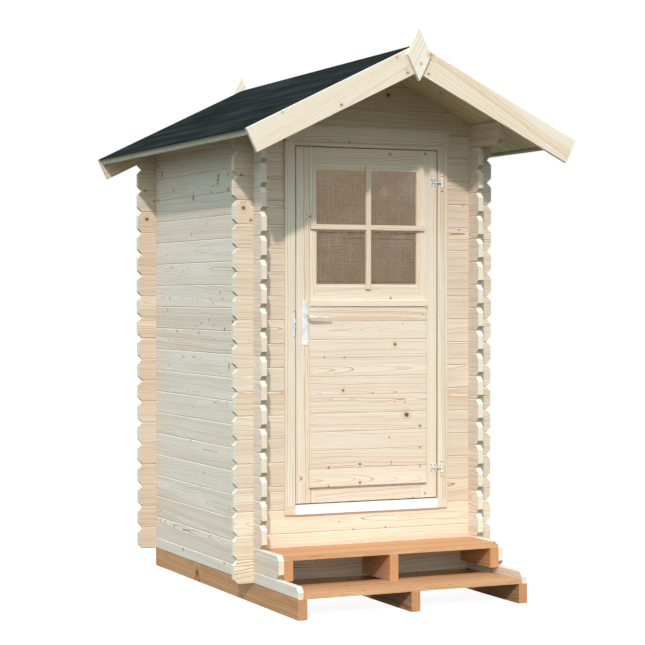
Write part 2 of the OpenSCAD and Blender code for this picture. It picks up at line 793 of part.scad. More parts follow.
// cross of bars laid on the face of the leaf
module glazing_bars() {
    mid_z = (glass_z0 + glass_z1) / 2;
    h = glass_z1 - glass_z0 + 2 * bar_rail_lap;
    w = 2 * (stile_in + bar_lap);
    color(pine) seated() translate([0, leaf_y - bar_t, mid_z]) {
        translate([-bar_w / 2, 0, -h / 2]) cube([bar_w, bar_t, h]);
        translate([-w / 2, 0, -bar_w / 2]) cube([w, bar_t, bar_w]);
    }
}

// ---------------------------------------------------------------- lock and hinges

module plate_outline() {
    r = plate_corner;
    translate([-plate_w / 2 + r, -plate_drop + r]) square([plate_w - 2 * r, plate_h - 2 * r]);
    translate([-plate_w / 2, -plate_drop + r]) square([plate_w, plate_h - 2 * r]);
    translate([-plate_w / 2 + r, -plate_drop]) square([plate_w - 2 * r, plate_h]);
    for (x = [-1, 1], z = [r, plate_h - r])
        translate([x * (plate_w / 2 - r), z - plate_drop]) circle(r = r, $fn = 24);
}

module handle_plates() {
    color(steel) seated() for (y = [leaf_y, leaf_back + plate_t]) translate([lock_x, y, lock_z])
        rotate([90, 0, 0]) linear_extrude(plate_t) difference() {
            plate_outline();
            circle(r = neck_r + neck_play, $fn = 48);
            translate([0, -lock_pitch]) cylinder_section(cylinder_play);
        }
}

module lock_cylinder() {
    l = leaf_t + 2 * (plate_t + cylinder_stand);
    color(steel) seated() translate([lock_x, leaf_y - plate_t - cylinder_stand + l, lock_z - lock_pitch])
        rotate([90, 0, 0]) linear_extrude(l) cylinder_section(0);
}

// blade seen from the front, from the neck to the tip
module lever_blade() {
    end_h = lever_h * 0.6;
    polygon([[-neck_r - 2, -lever_h / 2], [lever_l - 3, -end_h / 2], [lever_l, -end_h / 2 + 2],
             [lever_l, end_h / 2 - 2], [lever_l - 3, end_h / 2], [-neck_r - 2, lever_h / 2]]);
}

module handle_lever() {
    out = leaf_y - plate_t - lever_stand;
    in = leaf_back + plate_t + lever_stand;
    color(steel) seated() translate([lock_x, 0, lock_z]) {
        translate([0, out, 0]) rotate([90, 0, 0]) linear_extrude(lever_t) lever_blade();
        translate([0, in + lever_t, 0]) rotate([90, 0, 0]) linear_extrude(lever_t) lever_blade();
        translate([0, leaf_y - 1, 0]) rotate([90, 0, 0]) cylinder(r = neck_r, h = leaf_y - 1 - out + 1, $fn = 48);
        translate([0, in + 1, 0]) rotate([90, 0, 0]) cylinder(r = neck_r, h = in + 1 - leaf_back - 1, $fn = 48);
        translate([-spindle_w / 2, leaf_y - 5, -spindle_w / 2]) cube([spindle_w, leaf_t + 10, spindle_w]);
    }
}

// flange on the leaf, slotted into two tabs, a round arm on a web between them, and the
// knuckle on the pin
module hinge_leaves() {
    reach = hinge_out + hinge_plate_w;
    slot_h = (hinge_open_h - hinge_web_t) / 2;
    color(steel) seated() for (z = hinge_zs) translate([hinge_x, hinge_y, z]) difference() {
        union() {
            translate([-reach, leaf_y - hinge_y - hinge_plate_t, -hinge_plate_h / 2])
                cube([hinge_plate_w, hinge_plate_t, hinge_plate_h]);
            translate([-reach + hinge_arm_inset, 0, 0]) rotate([0, 90, 0])
                cylinder(r = hinge_arm_r, h = reach - hinge_arm_inset, $fn = 48);
            translate([-reach + hinge_arm_inset, 0, -hinge_web_t / 2])
                cube([hinge_plate_w - hinge_arm_inset, leaf_y - hinge_y - 1, hinge_web_t]);
            cylinder(r = knuckle_r, h = knuckle_h, center = true, $fn = 48);
        }
        cylinder(r = pin_r + pin_play, h = knuckle_h + 2, center = true, $fn = 48);
        translate([-reach - 1, leaf_y - hinge_y - hinge_plate_t - 1, -hinge_open_h / 2])
            cube([hinge_arm_inset + 1, hinge_plate_t + 2, hinge_open_h]);
        for (low = [-hinge_open_h / 2, hinge_web_t / 2])
            translate([-reach - 1, leaf_y - hinge_y - hinge_plate_t - 1, low])
                cube([hinge_plate_w - 4, hinge_plate_t + 2, slot_h]);
    }
}

// pin with a fixed knuckle and a round cap above and below, each on a stub that stands on the jamb
module hinge_pins() {
    fixed_h = (hinge_h - knuckle_h) / 2 - knuckle_gap;
    color(steel) seated() for (z = hinge_zs) translate([hinge_x, hinge_y, z]) {
        cylinder(r = pin_r, h = hinge_h - 2, center = true, $fn = 48);
        for (s = [-1, 1]) translate([0, 0, s * (hinge_h - fixed_h) / 2]) {
            cylinder(r = knuckle_r, h = fixed_h, center = true, $fn = 48);
            rotate([-90, 0, 0]) cylinder(r = knuckle_r - 1.5, h = hinge_stand, $fn = 48);
            translate([0, 0, s * (fixed_h / 2 + hinge_cap_r - 1)]) sphere(r = hinge_cap_r, $fn = 48);
        }
    }
}

// angle let in flush round the inner edge of the jamb on the lock's side
module strike_angle(play) {
    a = strike_leg + play;
    b = strike_depth + play;
    t = strike_t + play;
    translate([-inner_w / 2, frame_y0, strike_z - strike_h / 2 - play]) linear_extrude(strike_h + 2 * play)
        polygon([[-a, -play], [play, -play], [play, b], [-t, b], [-t, t], [-a, t]]);
}

// the angle has a window for the latch
module strike_plate() {
    color(steel) seated() difference() {
        strike_angle(0);
        translate([-inner_w / 2 - strike_t - 1, frame_y0 + strike_t + 5, strike_z + 5])
            cube([strike_t + 2, 12, 24]);
    }
}

joists();
cross_beams();
lower_tread();
upper_tread();
step_bearers();
floor_bearers();
floor_boards();
left_wall_logs_a();
left_wall_logs_b();
right_wall_logs_a();
right_wall_logs_b();
back_wall_logs_a();
back_wall_logs_b();
front_base_logs_a();
front_base_logs_b();
front_side_logs_a();
front_side_logs_b();
front_lintel_log();
front_gable_logs_a();
front_gable_logs_b();
roof_boards_left();
roof_boards_right();
eave_strips();
roof_felt();
front_barge_boards();
back_barge_boards();
finials();
frame_sill();
frame_jambs();
frame_head();
header_board();
threshold_strip();
door_stiles();
door_rails();
door_planks();
door_ledge();
glazing_beads();
door_glass();
door_cloth();
glazing_bars();
handle_plates();
lock_cylinder();
handle_lever();
hinge_leaves();
hinge_pins();
strike_plate();
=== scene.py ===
import json
import math
import bpy
import numpy as np
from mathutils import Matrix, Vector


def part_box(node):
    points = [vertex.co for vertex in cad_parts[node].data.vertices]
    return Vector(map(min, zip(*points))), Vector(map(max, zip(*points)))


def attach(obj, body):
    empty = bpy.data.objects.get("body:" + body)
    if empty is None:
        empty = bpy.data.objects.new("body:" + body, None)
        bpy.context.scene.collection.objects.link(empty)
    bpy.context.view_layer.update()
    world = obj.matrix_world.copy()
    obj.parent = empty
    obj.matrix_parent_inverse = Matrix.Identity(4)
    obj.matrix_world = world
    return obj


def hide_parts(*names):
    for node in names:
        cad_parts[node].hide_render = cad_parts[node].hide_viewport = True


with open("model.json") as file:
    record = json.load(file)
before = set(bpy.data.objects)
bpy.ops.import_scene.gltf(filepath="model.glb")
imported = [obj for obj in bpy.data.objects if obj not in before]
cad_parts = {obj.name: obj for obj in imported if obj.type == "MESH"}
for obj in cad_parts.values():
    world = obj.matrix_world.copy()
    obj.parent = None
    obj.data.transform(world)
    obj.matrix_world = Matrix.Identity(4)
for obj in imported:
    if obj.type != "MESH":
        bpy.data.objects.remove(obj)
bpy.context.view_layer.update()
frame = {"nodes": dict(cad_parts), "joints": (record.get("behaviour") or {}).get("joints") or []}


# ---------------------------------------------------------------- joists and cross beams
# Three sawn joists lie from front to back, with short beams nailed between them.
# They are pine pressed full of preservative, which turns the wood orange-brown.

class Wire:
    """One socket of a finish's nodes. Sums on it add Math nodes, node() adds any other node."""

    def __init__(self, tree, socket=None):
        self.tree = tree
        self.socket = socket

    def node(self, kind, settings=None, inputs=None, output=0):
        """Adds a node: its settings first, then the values or wires of its sockets."""
        made = self.tree.nodes.new(kind)
        for name, value in (settings or {}).items():
            setattr(made, name, value)
        fill(made, inputs or {})
        return Wire(self.tree, made.outputs[output])

    def math(self, operation, *others):
        """The Math node of that name, with this wire first."""
        return self.node("ShaderNodeMath", {"operation": operation}, dict(enumerate((self, *others))))

    def vector(self, operation, other=(0, 0, 0), output="Vector"):
        """The Vector Math node of that name, with this wire first."""
        return self.node("ShaderNodeVectorMath", {"operation": operation}, {0: self, 1: other}, output)

    def __add__(self, other):
        return self.math("ADD", other)

    __radd__ = __add__

    def __sub__(self, other):
        return self.math("SUBTRACT", other)

    def __rsub__(self, other):
        return self * -1.0 + other

    def __mul__(self, other):
        return self.math("MULTIPLY", other)

    __rmul__ = __mul__

    def __truediv__(self, other):
        return self.math("DIVIDE", other)

    def over(self, low, high):
        """0 below low and 1 above high, with an eased rise between them."""
        return self.node("ShaderNodeMapRange", {"interpolation_type": "SMOOTHSTEP"},
                         {"Value": self, "From Min": low, "From Max": high})


def fill(node, inputs):
    """Joins wires to a node's sockets, and sets plain values on the others."""
    for key, value in inputs.items():
        if isinstance(value, Wire):
            value.tree.links.new(value.socket, node.inputs[key])
        else:
            node.inputs[key].default_value = value


def shade(red, green, blue):
    """A colour written in screen steps of 0 to 255, as the shader's linear light."""
    steps = np.array([red, green, blue]) / 255
    linear = np.where(steps <= 0.04045, steps / 12.92, ((steps + 0.055) / 1.055) ** 2.4)
    return (*map(float, linear), 1.0)


def toned(base=(), **tones):
    """A set of tones by name, each in screen steps, laid over the set of a like wood."""
    return dict(base, **{name: shade(*steps) for name, steps in tones.items()})


def new_finish(name):
    """An empty finish: its material, a wire to start from, and its main shader."""
    material = bpy.data.materials.new(name)
    material.use_nodes = True
    return material, Wire(material.node_tree), material.node_tree.nodes["Principled BSDF"]


def blend_tone(first, second, share):
    """The first colour turning into the second by a share of 0 to 1."""
    return share.node("ShaderNodeMix", {"data_type": "RGBA"}, {0: share, 6: first, 7: second}, output=2)


def spot(wire, x, y, z):
    """Three numbers or wires as one vector."""
    return wire.node("ShaderNodeCombineXYZ", None, {0: x, 1: y, 2: z})


def parts(vector):
    """The three numbers of a vector."""
    return [vector.node("ShaderNodeSeparateXYZ", None, {0: vector}, output=i) for i in range(3)]


def place_on(start):
    """The place on the shed in metres, as three wires."""
    return parts(start.node("ShaderNodeTexCoord", output="Object"))


def cloud(wire, x, y, z, detail=2.0, roughness=0.5):
    """Soft noise of about 0 to 1 at a place that is already scaled."""
    return wire.node("ShaderNodeTexNoise", None, {"Vector": spot(wire, x, y, z), "Scale": 1.0,
                                                  "Detail": detail, "Roughness": roughness})


def relief(height, strength, depth):
    """Bump from a height, with its strength and its depth in metres."""
    return height.node("ShaderNodeBump", None, {"Strength": strength, "Distance": depth, "Height": height})


def chances(drawn):
    """The three numbers of 0 to 1 in a colour that was drawn by chance."""
    return [drawn.node("ShaderNodeSeparateColor", None, {0: drawn}, output=i) for i in range(3)]


def lot(place):
    """Three chance numbers of 0 to 1 for a place, the same each time."""
    return chances(place.node("ShaderNodeTexWhiteNoise", {"noise_dimensions": "3D"}, {"Vector": place},
                              output="Color"))


def solid_wood(name, tones, grain, wide, origin, pitch=(0, 0, 0), seed=0.0, ring=0.0056, slope=0.0,
               both=True, knotty=0.3, marks=(), joint=0.0, line=1.0, soft=0.0, pith=None, clear=None,
               wavy=1.0, arris=0.0, rim=None, upright=None, butt=0.0):
    """Sawn wood, cut out of rings round a leaning, wavering pith that differs from board to board.

    grain and wide are the axes along the tree and across the board's face. A board's own number
    is how many pitches it lies from the origin. The rings' number is the distance from the pith over
    the ring's width; each has a pale early part and a narrow late line of its own strength.
    pith sets the pith's place across and behind the board and how far it leans, for rings that
    stand on edge; the lines fade out between the two distances of clear. wavy is how much the pith
    wavers, and soft turns the lines into bands. Knots run through the board and push the rings aside;
    knotty is the share of places that hold one. marks are knots at known places: along, across,
    radius, how dark from 0 to 1, and on a roof the side, -1 or 1. joint is half a board's height;
    with it, painted shade darkens the lower arris and the faces slanting down. arris is how much the
    faces slanting up are paled as painted highlight. butt is half the width of the dark line where
    two lengths meet end to end. rim paints light between two heights over the board's
    middle, by a share, and only where x has the sign of its fourth number if it has one: a pale
    tone gives a painted highlight, a dark one a painted shadow.
    slope turns the board, to both sides of the ridge or all one way. upright is the range of
    distances from the middle of the shed in which the grain stands up instead."""
    material, start, shader = new_finish(name)
    axes = place_on(start)
    faces = parts(start.node("ShaderNodeNewGeometry", output="True Normal"))
    seeds = [seed, seed * 0.37 + 1.3, seed * 0.11 + 2.9]
    side = 0.0
    if slope:
        side = axes[0].math("SIGN") if both else 1.0
        seeds[0] = side * 3.0 + seed
        for turned in (axes, faces):
            out = turned[0] * side
            turned[0], turned[2] = (out * math.cos(slope) - turned[2] * math.sin(slope),
                                    out * math.sin(slope) + turned[2] * math.cos(slope))
    if upright:
        far_out = axes[0].math("ABSOLUTE")
        edge = 0.0001
        stands = far_out.over(upright[0] - edge, upright[0])
        stands = stands * (1.0 - far_out.over(upright[1], upright[1] + edge))
        for turned in (axes, faces):
            turned[0], turned[2] = (turned[0] + (turned[2] - turned[0]) * stands,
                                    turned[2] + (turned[0] - turned[2]) * stands)
    own = []
    for i in range(3):
        if pitch[i]:
            number = ((axes[i] - origin[i]) / pitch[i]).math("FLOOR")
            own.append(axes[i] - origin[i] - (number + 0.5) * pitch[i])
            seeds[i] = number + seeds[i]
        else:
            own.append(axes[i] - origin[i])
    thick = 3 - grain - wide
    along, across, through = axes[grain], own[wide], own[thick]
    key = spot(start, *seeds)
    a, b, c = lot(key)
    d, e, f = lot(key.vector("ADD", (7.3, 1.7, 3.1)))

    # knots scattered by chance, and the marked ones: how many radii away the nearest one is
    cell_long, cell_high = 0.19, 0.075
    least_knot, knot_growth = 0.002, 0.006
    knot_place = spot(start, along / cell_long + a * 91.0, across / cell_high + b * 57.0, 0.0)
    scatter = {"voronoi_dimensions": "2D", "feature": "F1"}
    near = {"Vector": knot_place, "Scale": 1.0, "Randomness": 0.85}
    centre = start.node("ShaderNodeTexVoronoi", scatter, near, output="Position")
    drawn = start.node("ShaderNodeTexVoronoi", scatter, near, output="Color")
    size, luck, dark = chances(drawn)
    away = knot_place.vector("SUBTRACT", centre).vector("MULTIPLY", (cell_long, cell_high, 0))
    away = away.vector("LENGTH", output="Value")
    radii = away / (size * size * knot_growth + least_knot) + luck.over(knotty, knotty + 0.01) * 9.0
    marked = None
    here = spot(start, axes[grain], axes[wide], side if both else 0.0)
    for mark_along, mark_across, mark_radius, mark_dark, *mark_side in marks:
        gap = here.vector("DISTANCE", (mark_along, mark_across, sum(mark_side)), "Value") / mark_radius
        dark = dark + (1.0 - gap.over(1.2, 3.0)) * (mark_dark - dark)
        marked = gap if marked is None else marked.math("MINIMUM", gap)
    if marked:
        radii = radii.math("MINIMUM", marked)
    ragged = cloud(start, along * 190.0, across * 190.0, through * 60.0)
    radii = radii + (ragged - 0.5) * 0.5
    core = 1.0 - radii.over(0.65, 1.1)
    halo = 1.0 - radii.over(0.9, 3.2)
    push = 1.0 - radii.over(0.0, 5.0)

    # the pith leans and wavers along the board; boards from the tree's side have it far off
    waver = cloud(start, along * 1.9 + a * 40.0, across * 5.0, b * 30.0)
    drift = cloud(start, along * 2.7 + c * 40.0, through * 4.0, d * 30.0)
    if pith:
        pith_across = (across - pith[0] + along * pith[2] - (d - 0.5) * 0.012 * along
                       - (waver - 0.5) * 0.012 * wavy)
        pith_deep = through + pith[1] + (c - 0.5) * 0.02 * along + (drift - 0.5) * 0.01
    else:
        pith_across = (across - (a - 0.5) * 0.08 - e.over(0.52, 0.54) * 0.10 - (d - 0.5) * 0.07 * along
                       - (waver - 0.5) * 0.045 * wavy)
        pith_deep = through + (b * 0.05 + 0.012) + (c - 0.5) * 0.09 * along + (drift - 0.5) * 0.045 * wavy
    far = (pith_across * pith_across + pith_deep * pith_deep).math("SQRT")
    jitter = cloud(start, along * 7.0, across * 42.0, through * 42.0)
    growth = cloud(start, far * 38.0 + a * 9.0, b * 9.0, 0.0)
    number = far / ring + (growth - 0.5) * 2.4 + (jitter - 0.5) * 0.6 + push * 1.7
    part = number.math("FRACT")
    year = start.node("ShaderNodeTexWhiteNoise", {"noise_dimensions": "1D"},
                      {"W": number.math("FLOOR") + a * 100.0}, output="Value")
    # where the face lies along the rings, their lines stay narrow instead of spreading into blots
    lean = (faces[wide] * pith_across + faces[thick] * pith_deep) / far
    crossing = (1.0 - lean * lean).math("MAXIMUM", 0.0).math("SQRT")
    late = part.over(0.78 - crossing * 0.38, 0.84 - crossing * 0.08) * (1.0 - part.over(0.93, 1.0))
    late = late + ((part * math.tau).math("COSINE") * -0.5 + 0.5 - late) * soft
    bold = (a * 7.3 + b * 3.1).math("FRACT")
    late = late * (year * year * 0.8 + 0.3) * (bold * 0.6 + 0.5) * (1.0 - push * 0.5) * line
    if clear:
        late = late * (1.0 - far.over(*clear) * 0.85)

    # fibres, broad stains, and the board's own tone
    fibre = cloud(start, along * 14.0, across * 620.0, through * 620.0, detail=3.0)
    streak = cloud(start, along * 2.4 + d * 20.0, across * 95.0, through * 95.0, detail=3.0)
    broad = cloud(start, along * 1.9 + e * 20.0, across * 9.0, through * 9.0)
    end = faces[grain].math("ABSOLUTE").over(0.5, 0.66)
    colour = blend_tone(tones["pale"], tones["warm"], broad.over(0.35, 0.72) * 0.65 + f * 0.35)
    colour = blend_tone(colour, tones["dull"], e * 0.3 + streak.over(0.45, 0.8) * 0.25)
    colour = blend_tone(colour, tones["late"], late * (1.0 - end * 0.4))
    colour = blend_tone(colour, tones["late"], fibre.over(0.5, 0.8) * 0.14 + streak.over(0.52, 0.72) * 0.13)
    colour = blend_tone(colour, tones["halo"], halo * 0.5)
    colour = blend_tone(colour, blend_tone(tones["knot"], tones["heart"], dark), core * 0.92)
    colour = blend_tone(colour, tones["end"], end * 0.5)
    if joint:
        # painted shade: the lower arris of each joint takes the seam tone, and faces slanting down take the
        # under tone, for the shade that falls there
        seam = (across * -1.0).over(joint - 0.0045, joint - 0.002)
        under = (faces[wide] * -1.0).over(0.6, 0.68) * (1.0 - (faces[wide] * -1.0).over(0.75, 0.85))
        colour = blend_tone(colour, tones["under"], under * (1.0 - seam) * 0.7)
        colour = blend_tone(colour, tones["seam"], seam * (1.0 - end) * 0.42)
    if butt:
        gap = own[grain].math("ABSOLUTE").over(pitch[grain] / 2 - butt, pitch[grain] / 2 - butt * 0.6)
        colour = blend_tone(colour, tones["seam"], gap * 0.8)
    if rim:
        # painted light: a band in the rim tone, pale for a highlight and dark for a shadow
        rimmed = across.over(rim[0], rim[1]) * rim[2]
        if len(rim) > 3:
            rimmed = rimmed * (axes[0] * rim[3]).over(0.0, 0.01)
        colour = blend_tone(colour, tones["rim"], rimmed)
    if arris:
        # painted highlight: faces slanting up at the upper arris are paled towards the cut tone
        cut = faces[wide].over(0.3, 0.6) * (1.0 - faces[wide].over(0.8, 0.95))
        colour = blend_tone(colour, tones["cut"], cut * arris)
    height = fibre * 0.45 + late * 0.4 - core * 0.5 + streak * 0.2
    matt = 0.64
    fill(shader, {"Base Color": colour, "Roughness": matt + fibre * 0.14 + end * 0.12 - core * 0.12,
                  "Specular IOR Level": 0.25, "Normal": relief(height, 0.35, 0.0012)})
    return material


def dress(material, *nodes):
    """Gives a finish to pieces that keep the shape they came with."""
    for node in nodes:
        piece = frame["nodes"][node]
        if not piece.material_slots:
            piece.data.materials.append(material)
        for held in piece.material_slots:
            held.material = material


treated_tones = toned(pale=(203, 157, 115), warm=(191, 143, 100), dull=(182, 138, 99), late=(152, 102, 62),
                      halo=(156, 100, 60), knot=(110, 66, 38), heart=(60, 36, 26), end=(219, 151, 100),
                      seam=(120, 78, 50))
joist_pitch = 0.6
joist_h = 0.095
dress(solid_wood("treated_joists", treated_tones, grain=1, wide=2, pitch=(joist_pitch, 0, 0),
                 origin=(-1.5 * joist_pitch, 0, joist_h / 2), seed=11.0, ring=0.021, knotty=0.05,
                 line=1.8, soft=0.75, wavy=0.9, marks=((0.226, 0.044, 0.017, 1.0),)), "joists")
dress(solid_wood("treated_cross_beams", treated_tones, grain=0, wide=2, origin=(0, -1.4, 0.06),
                 pitch=(0, 0.9, 0), seed=12.0, knotty=0.2), "cross_beams")


# ---------------------------------------------------------------- floor
# Tongued boards lie from front to back on four treated bearers let in between the side walls.
# They are planed spruce, nailed down beside the joints.

dress(solid_wood("treated_floor_bearers", treated_tones, grain=0, wide=2, origin=(0, -0.6, 0.34),
                 pitch=(0, 0.3, 0), seed=13.0, knotty=0.2), "floor_bearers")
# Of these, cut is painted highlight on faces slanting up, and under and seam are painted shade on faces
# slanting down and on each joint's lower arris; seam is also the dark line where lengths butt.
spruce_tones = toned(pale=(241, 229, 211), warm=(232, 212, 186), dull=(226, 213, 192), late=(192, 146, 102),
                     halo=(212, 168, 120), knot=(158, 106, 64), heart=(62, 42, 30), end=(224, 226, 218),
                     seam=(132, 104, 74), cut=(255, 248, 232), under=(150, 142, 112))
floor_half = 0.564
board_w = floor_half / 6
dress(solid_wood("spruce_floor_boards", spruce_tones, grain=1, wide=0, origin=(-floor_half, 0, 0.4),
                 pitch=(board_w, 0, 0), seed=14.0, joint=board_w / 2), "floor_boards")


# ---------------------------------------------------------------- log walls
# Planed spruce logs, tongued and grooved, stacked course by course and notched over each other
# at the corners. Each log is one piece of wood, so its rings, knots and tone are its own.

log_h = 0.114
sole = joist_h + 0.0003
front_y, back_y, side_x = -0.524, 0.868, 0.582
side_tones = toned(spruce_tones, pale=(232, 225, 214), warm=(227, 216, 199), dull=(220, 212, 198),
                   late=(192, 152, 110), halo=(196, 162, 120), end=(252, 224, 188))
lit_side_tones = toned(side_tones, end=(255, 240, 208))
left_marks = ((0.753, 2.126, 0.0081, 1), (0.753, 2.110, 0.0068, 1), (0.572, 2.034, 0.0054, 1),
              (0.572, 2.021, 0.0041, 1), (-0.083, 2.062, 0.0081, 1), (-0.075, 2.043, 0.0095, 1),
              (-0.070, 2.024, 0.0068, 1), (-0.212, 1.988, 0.0081, 1), (-0.212, 2.063, 0.0054, 1),
              (0.023, 1.986, 0.0054, 1), (0.275, 1.972, 0.0121, 1), (0.815, 1.980, 0.0081, 1),
              (0.440, 2.142, 0.0054, 1), (0.304, 1.783, 0.005, 0.6), (0.077, 1.830, 0.004, 0.6),
              (0.825, 1.851, 0.005, 0.6), (0.243, 1.694, 0.003, 0.6), (0.679, 1.682, 0.004, 0.6),
              (0.606, 1.613, 0.005, 0.6), (0.424, 1.592, 0.003, 0.6), (0.497, 1.495, 0.003, 0.6),
              (-0.104, 1.481, 0.005, 0.6), (0.668, 1.392, 0.006, 0.6), (0.161, 1.327, 0.006, 0.6),
              (0.240, 1.310, 0.005, 0.6), (-0.012, 1.316, 0.005, 0.6), (-0.162, 1.302, 0.007, 0.6),
              (0.520, 1.280, 0.006, 0.6), (-0.025, 1.247, 0.005, 0.6), (0.433, 1.145, 0.005, 0.6),
              (0.636, 1.096, 0.005, 0.6), (-0.222, 1.127, 0.007, 0.6), (-0.222, 1.115, 0.007, 0.6),
              (-0.101, 1.082, 0.004, 0.6))
log_stack = {"wide": 2, "pitch": (0, 0, log_h), "joint": log_h / 2 + 0.0002}
for side, x, number, marks, knotty, tones in (("left", -side_x, 21.0, left_marks, 0.12, side_tones),
                                              ("right", side_x, 22.0, (), 0.3, lit_side_tones)):
    dress(solid_wood(f"spruce_{side}_wall", tones, grain=1, origin=(x, 0, sole - log_h / 2), seed=number,
                     marks=marks, knotty=knotty, line=1.15, arris=0.7, **log_stack),
          f"{side}_wall_logs_a", f"{side}_wall_logs_b")

back_tones = toned(spruce_tones, pale=(232, 219, 199), warm=(223, 204, 178), dull=(217, 203, 180))
dress(solid_wood("spruce_back_wall", back_tones, grain=0, origin=(0, back_y, sole), seed=23.0, wavy=0.45,
                 marks=((-0.648, 1.880, 0.010, 0.8), (-0.656, 2.032, 0.006, 0.8)), knotty=0.12, line=1.3,
                 arris=0.4, **log_stack),
      "back_wall_logs_a", "back_wall_logs_b")

foot_marks = ((0.105, 0.328, 0.004, 0.6), (-0.069, 0.326, 0.004, 0.6))
front_marks = ((0.119, 2.450, 0.011, 0.6), (0.539, 1.918, 0.004, 0.6), (0.513, 1.797, 0.004, 0.6),
               (0.565, 2.028, 0.003, 0.6), *foot_marks, (-0.647, 1.882, 0.010, 0.6),
               (-0.657, 2.038, 0.006, 0.6), (-0.524, 2.028, 0.004, 0.6))
front_stack = dict(log_stack, grain=0, origin=(0, front_y, sole), arris=0.4)
# painted shade: the gable logs lie in the roof's shade and take a darker, yellower copy of the wall's tones
shaded_gable_tones = toned(spruce_tones, pale=(234, 226, 199), warm=(225, 210, 176), dull=(219, 210, 180))
for name, tones, nodes in (
        ("spruce_front_wall", spruce_tones, ("front_side_logs_a", "front_side_logs_b", "front_lintel_log")),
        ("spruce_front_gable", shaded_gable_tones, ("front_gable_logs_a", "front_gable_logs_b"))):
    dress(solid_wood(name, tones, seed=24.0, marks=front_marks, knotty=0.04, wavy=0.5, line=1.15,
                     **front_stack), *nodes)
base_tones = toned(spruce_tones, pale=(250, 235, 212), warm=(246, 223, 196), dull=(240, 223, 199))
dress(solid_wood("spruce_front_foot", base_tones, seed=25.0, marks=foot_marks, knotty=0.1, line=1.4,
                 **front_stack),
      "front_base_logs_a", "front_base_logs_b")


# ---------------------------------------------------------------- door frame
# A planed frame grips the sawn ends of the logs, with a board above it that hides the room
# left for the logs to settle. It is made of clear, straight wood with few knots.

frame_y, face_y = -0.52, -0.56
dress(solid_wood("spruce_sill", spruce_tones, grain=0, wide=2, origin=(0, frame_y, 0.44), seed=31.0,
                 knotty=0.1), "frame_sill")
jamb_tones = toned(spruce_tones, pale=(247, 236, 216), warm=(238, 219, 192))
dress(solid_wood("spruce_jambs", jamb_tones, grain=2, wide=0, origin=(-0.85, frame_y, 0),
                 pitch=(0.85, 0, 0), seed=32.0, knotty=0.0, ring=0.0125, pith=(-0.16, 0.07, 0.0), line=0.75),
      "frame_jambs")
dress(solid_wood("spruce_head", spruce_tones, grain=0, wide=2, origin=(0, frame_y, 2.2), seed=33.0,
                 knotty=0.0, ring=0.0075, pith=(0.15, 0.06, 0.0)), "frame_head")
dress(solid_wood("spruce_header_board", spruce_tones, grain=0, wide=2, origin=(0, face_y, 2.25), seed=34.0,
                 knotty=0.0, marks=((-0.107, 2.208, 0.004, 0.8), (-0.214, 2.213, 0.003, 0.8),
                                    (0.393, 2.215, 0.003, 0.8))), "header_board")


# ---------------------------------------------------------------- threshold strip
# A white angle folded from coated sheet covers the sill's front and top, and is glued down.
# Shoes and rain leave it faintly scuffed along its length.

def coated_strip():
    """White coating with long faint scuffs and a finely rolled surface."""
    material, start, shader = new_finish("white_coated_sheet")
    x, y, z = place_on(start)
    scuff = cloud(start, x * 6.0, y * 60.0, z * 60.0, detail=4.0)
    rolled = cloud(start, x * 260.0, y * 260.0, z * 260.0)
    colour = blend_tone(shade(250, 250, 249), shade(226, 226, 222), scuff.over(0.55, 0.85) * 0.5)
    fill(shader, {"Base Color": colour, "Roughness": scuff * 0.2 + 0.32,
                  "Normal": relief(rolled, 0.15, 0.0004)})
    return material


dress(coated_strip(), "threshold_strip")


# ---------------------------------------------------------------- roof boards and eave strips
# Tongued boards run down each slope, in four panels a side, with their bevelled joints below.
# A planed strip closes their lower ends along the eaves.

roof_slope = math.radians(26.1)
roof_half = 1.062
board_pitch = roof_half / 12
roof_tones = toned(spruce_tones, pale=(222, 213, 178), warm=(215, 200, 160), dull=(206, 195, 160))
dress(solid_wood("spruce_roof_boards", roof_tones, grain=0, wide=1, origin=(0, -roof_half, 2.6),
                 pitch=(0, board_pitch, 0), seed=41.0, slope=roof_slope, joint=board_pitch / 2,
                 knotty=0.35), "roof_boards_left", "roof_boards_right")
# painted shade: the eave strips take a darker, greyer copy of the spruce tones, and on the left eave a band
# of painted shadow along their top, under the felt's edge
eave_tones = toned(spruce_tones, pale=(188, 190, 170), warm=(182, 180, 156), dull=(174, 174, 152),
                   late=(150, 134, 104), rim=(104, 102, 74))
dress(solid_wood("spruce_eave_strips", eave_tones, grain=1, wide=2, origin=(-1.2, -roof_half, 2.19),
                 pitch=(1.2, roof_half / 2, 0), seed=42.0, rim=(0.003, 0.013, 0.85, -1), butt=0.004),
      "eave_strips")


# ---------------------------------------------------------------- roof felt
# Bitumen felt strewn with fine dark slate, laid in strips along the roof that lap down the slope.
# The slate has worn into faint streaks along the strips.

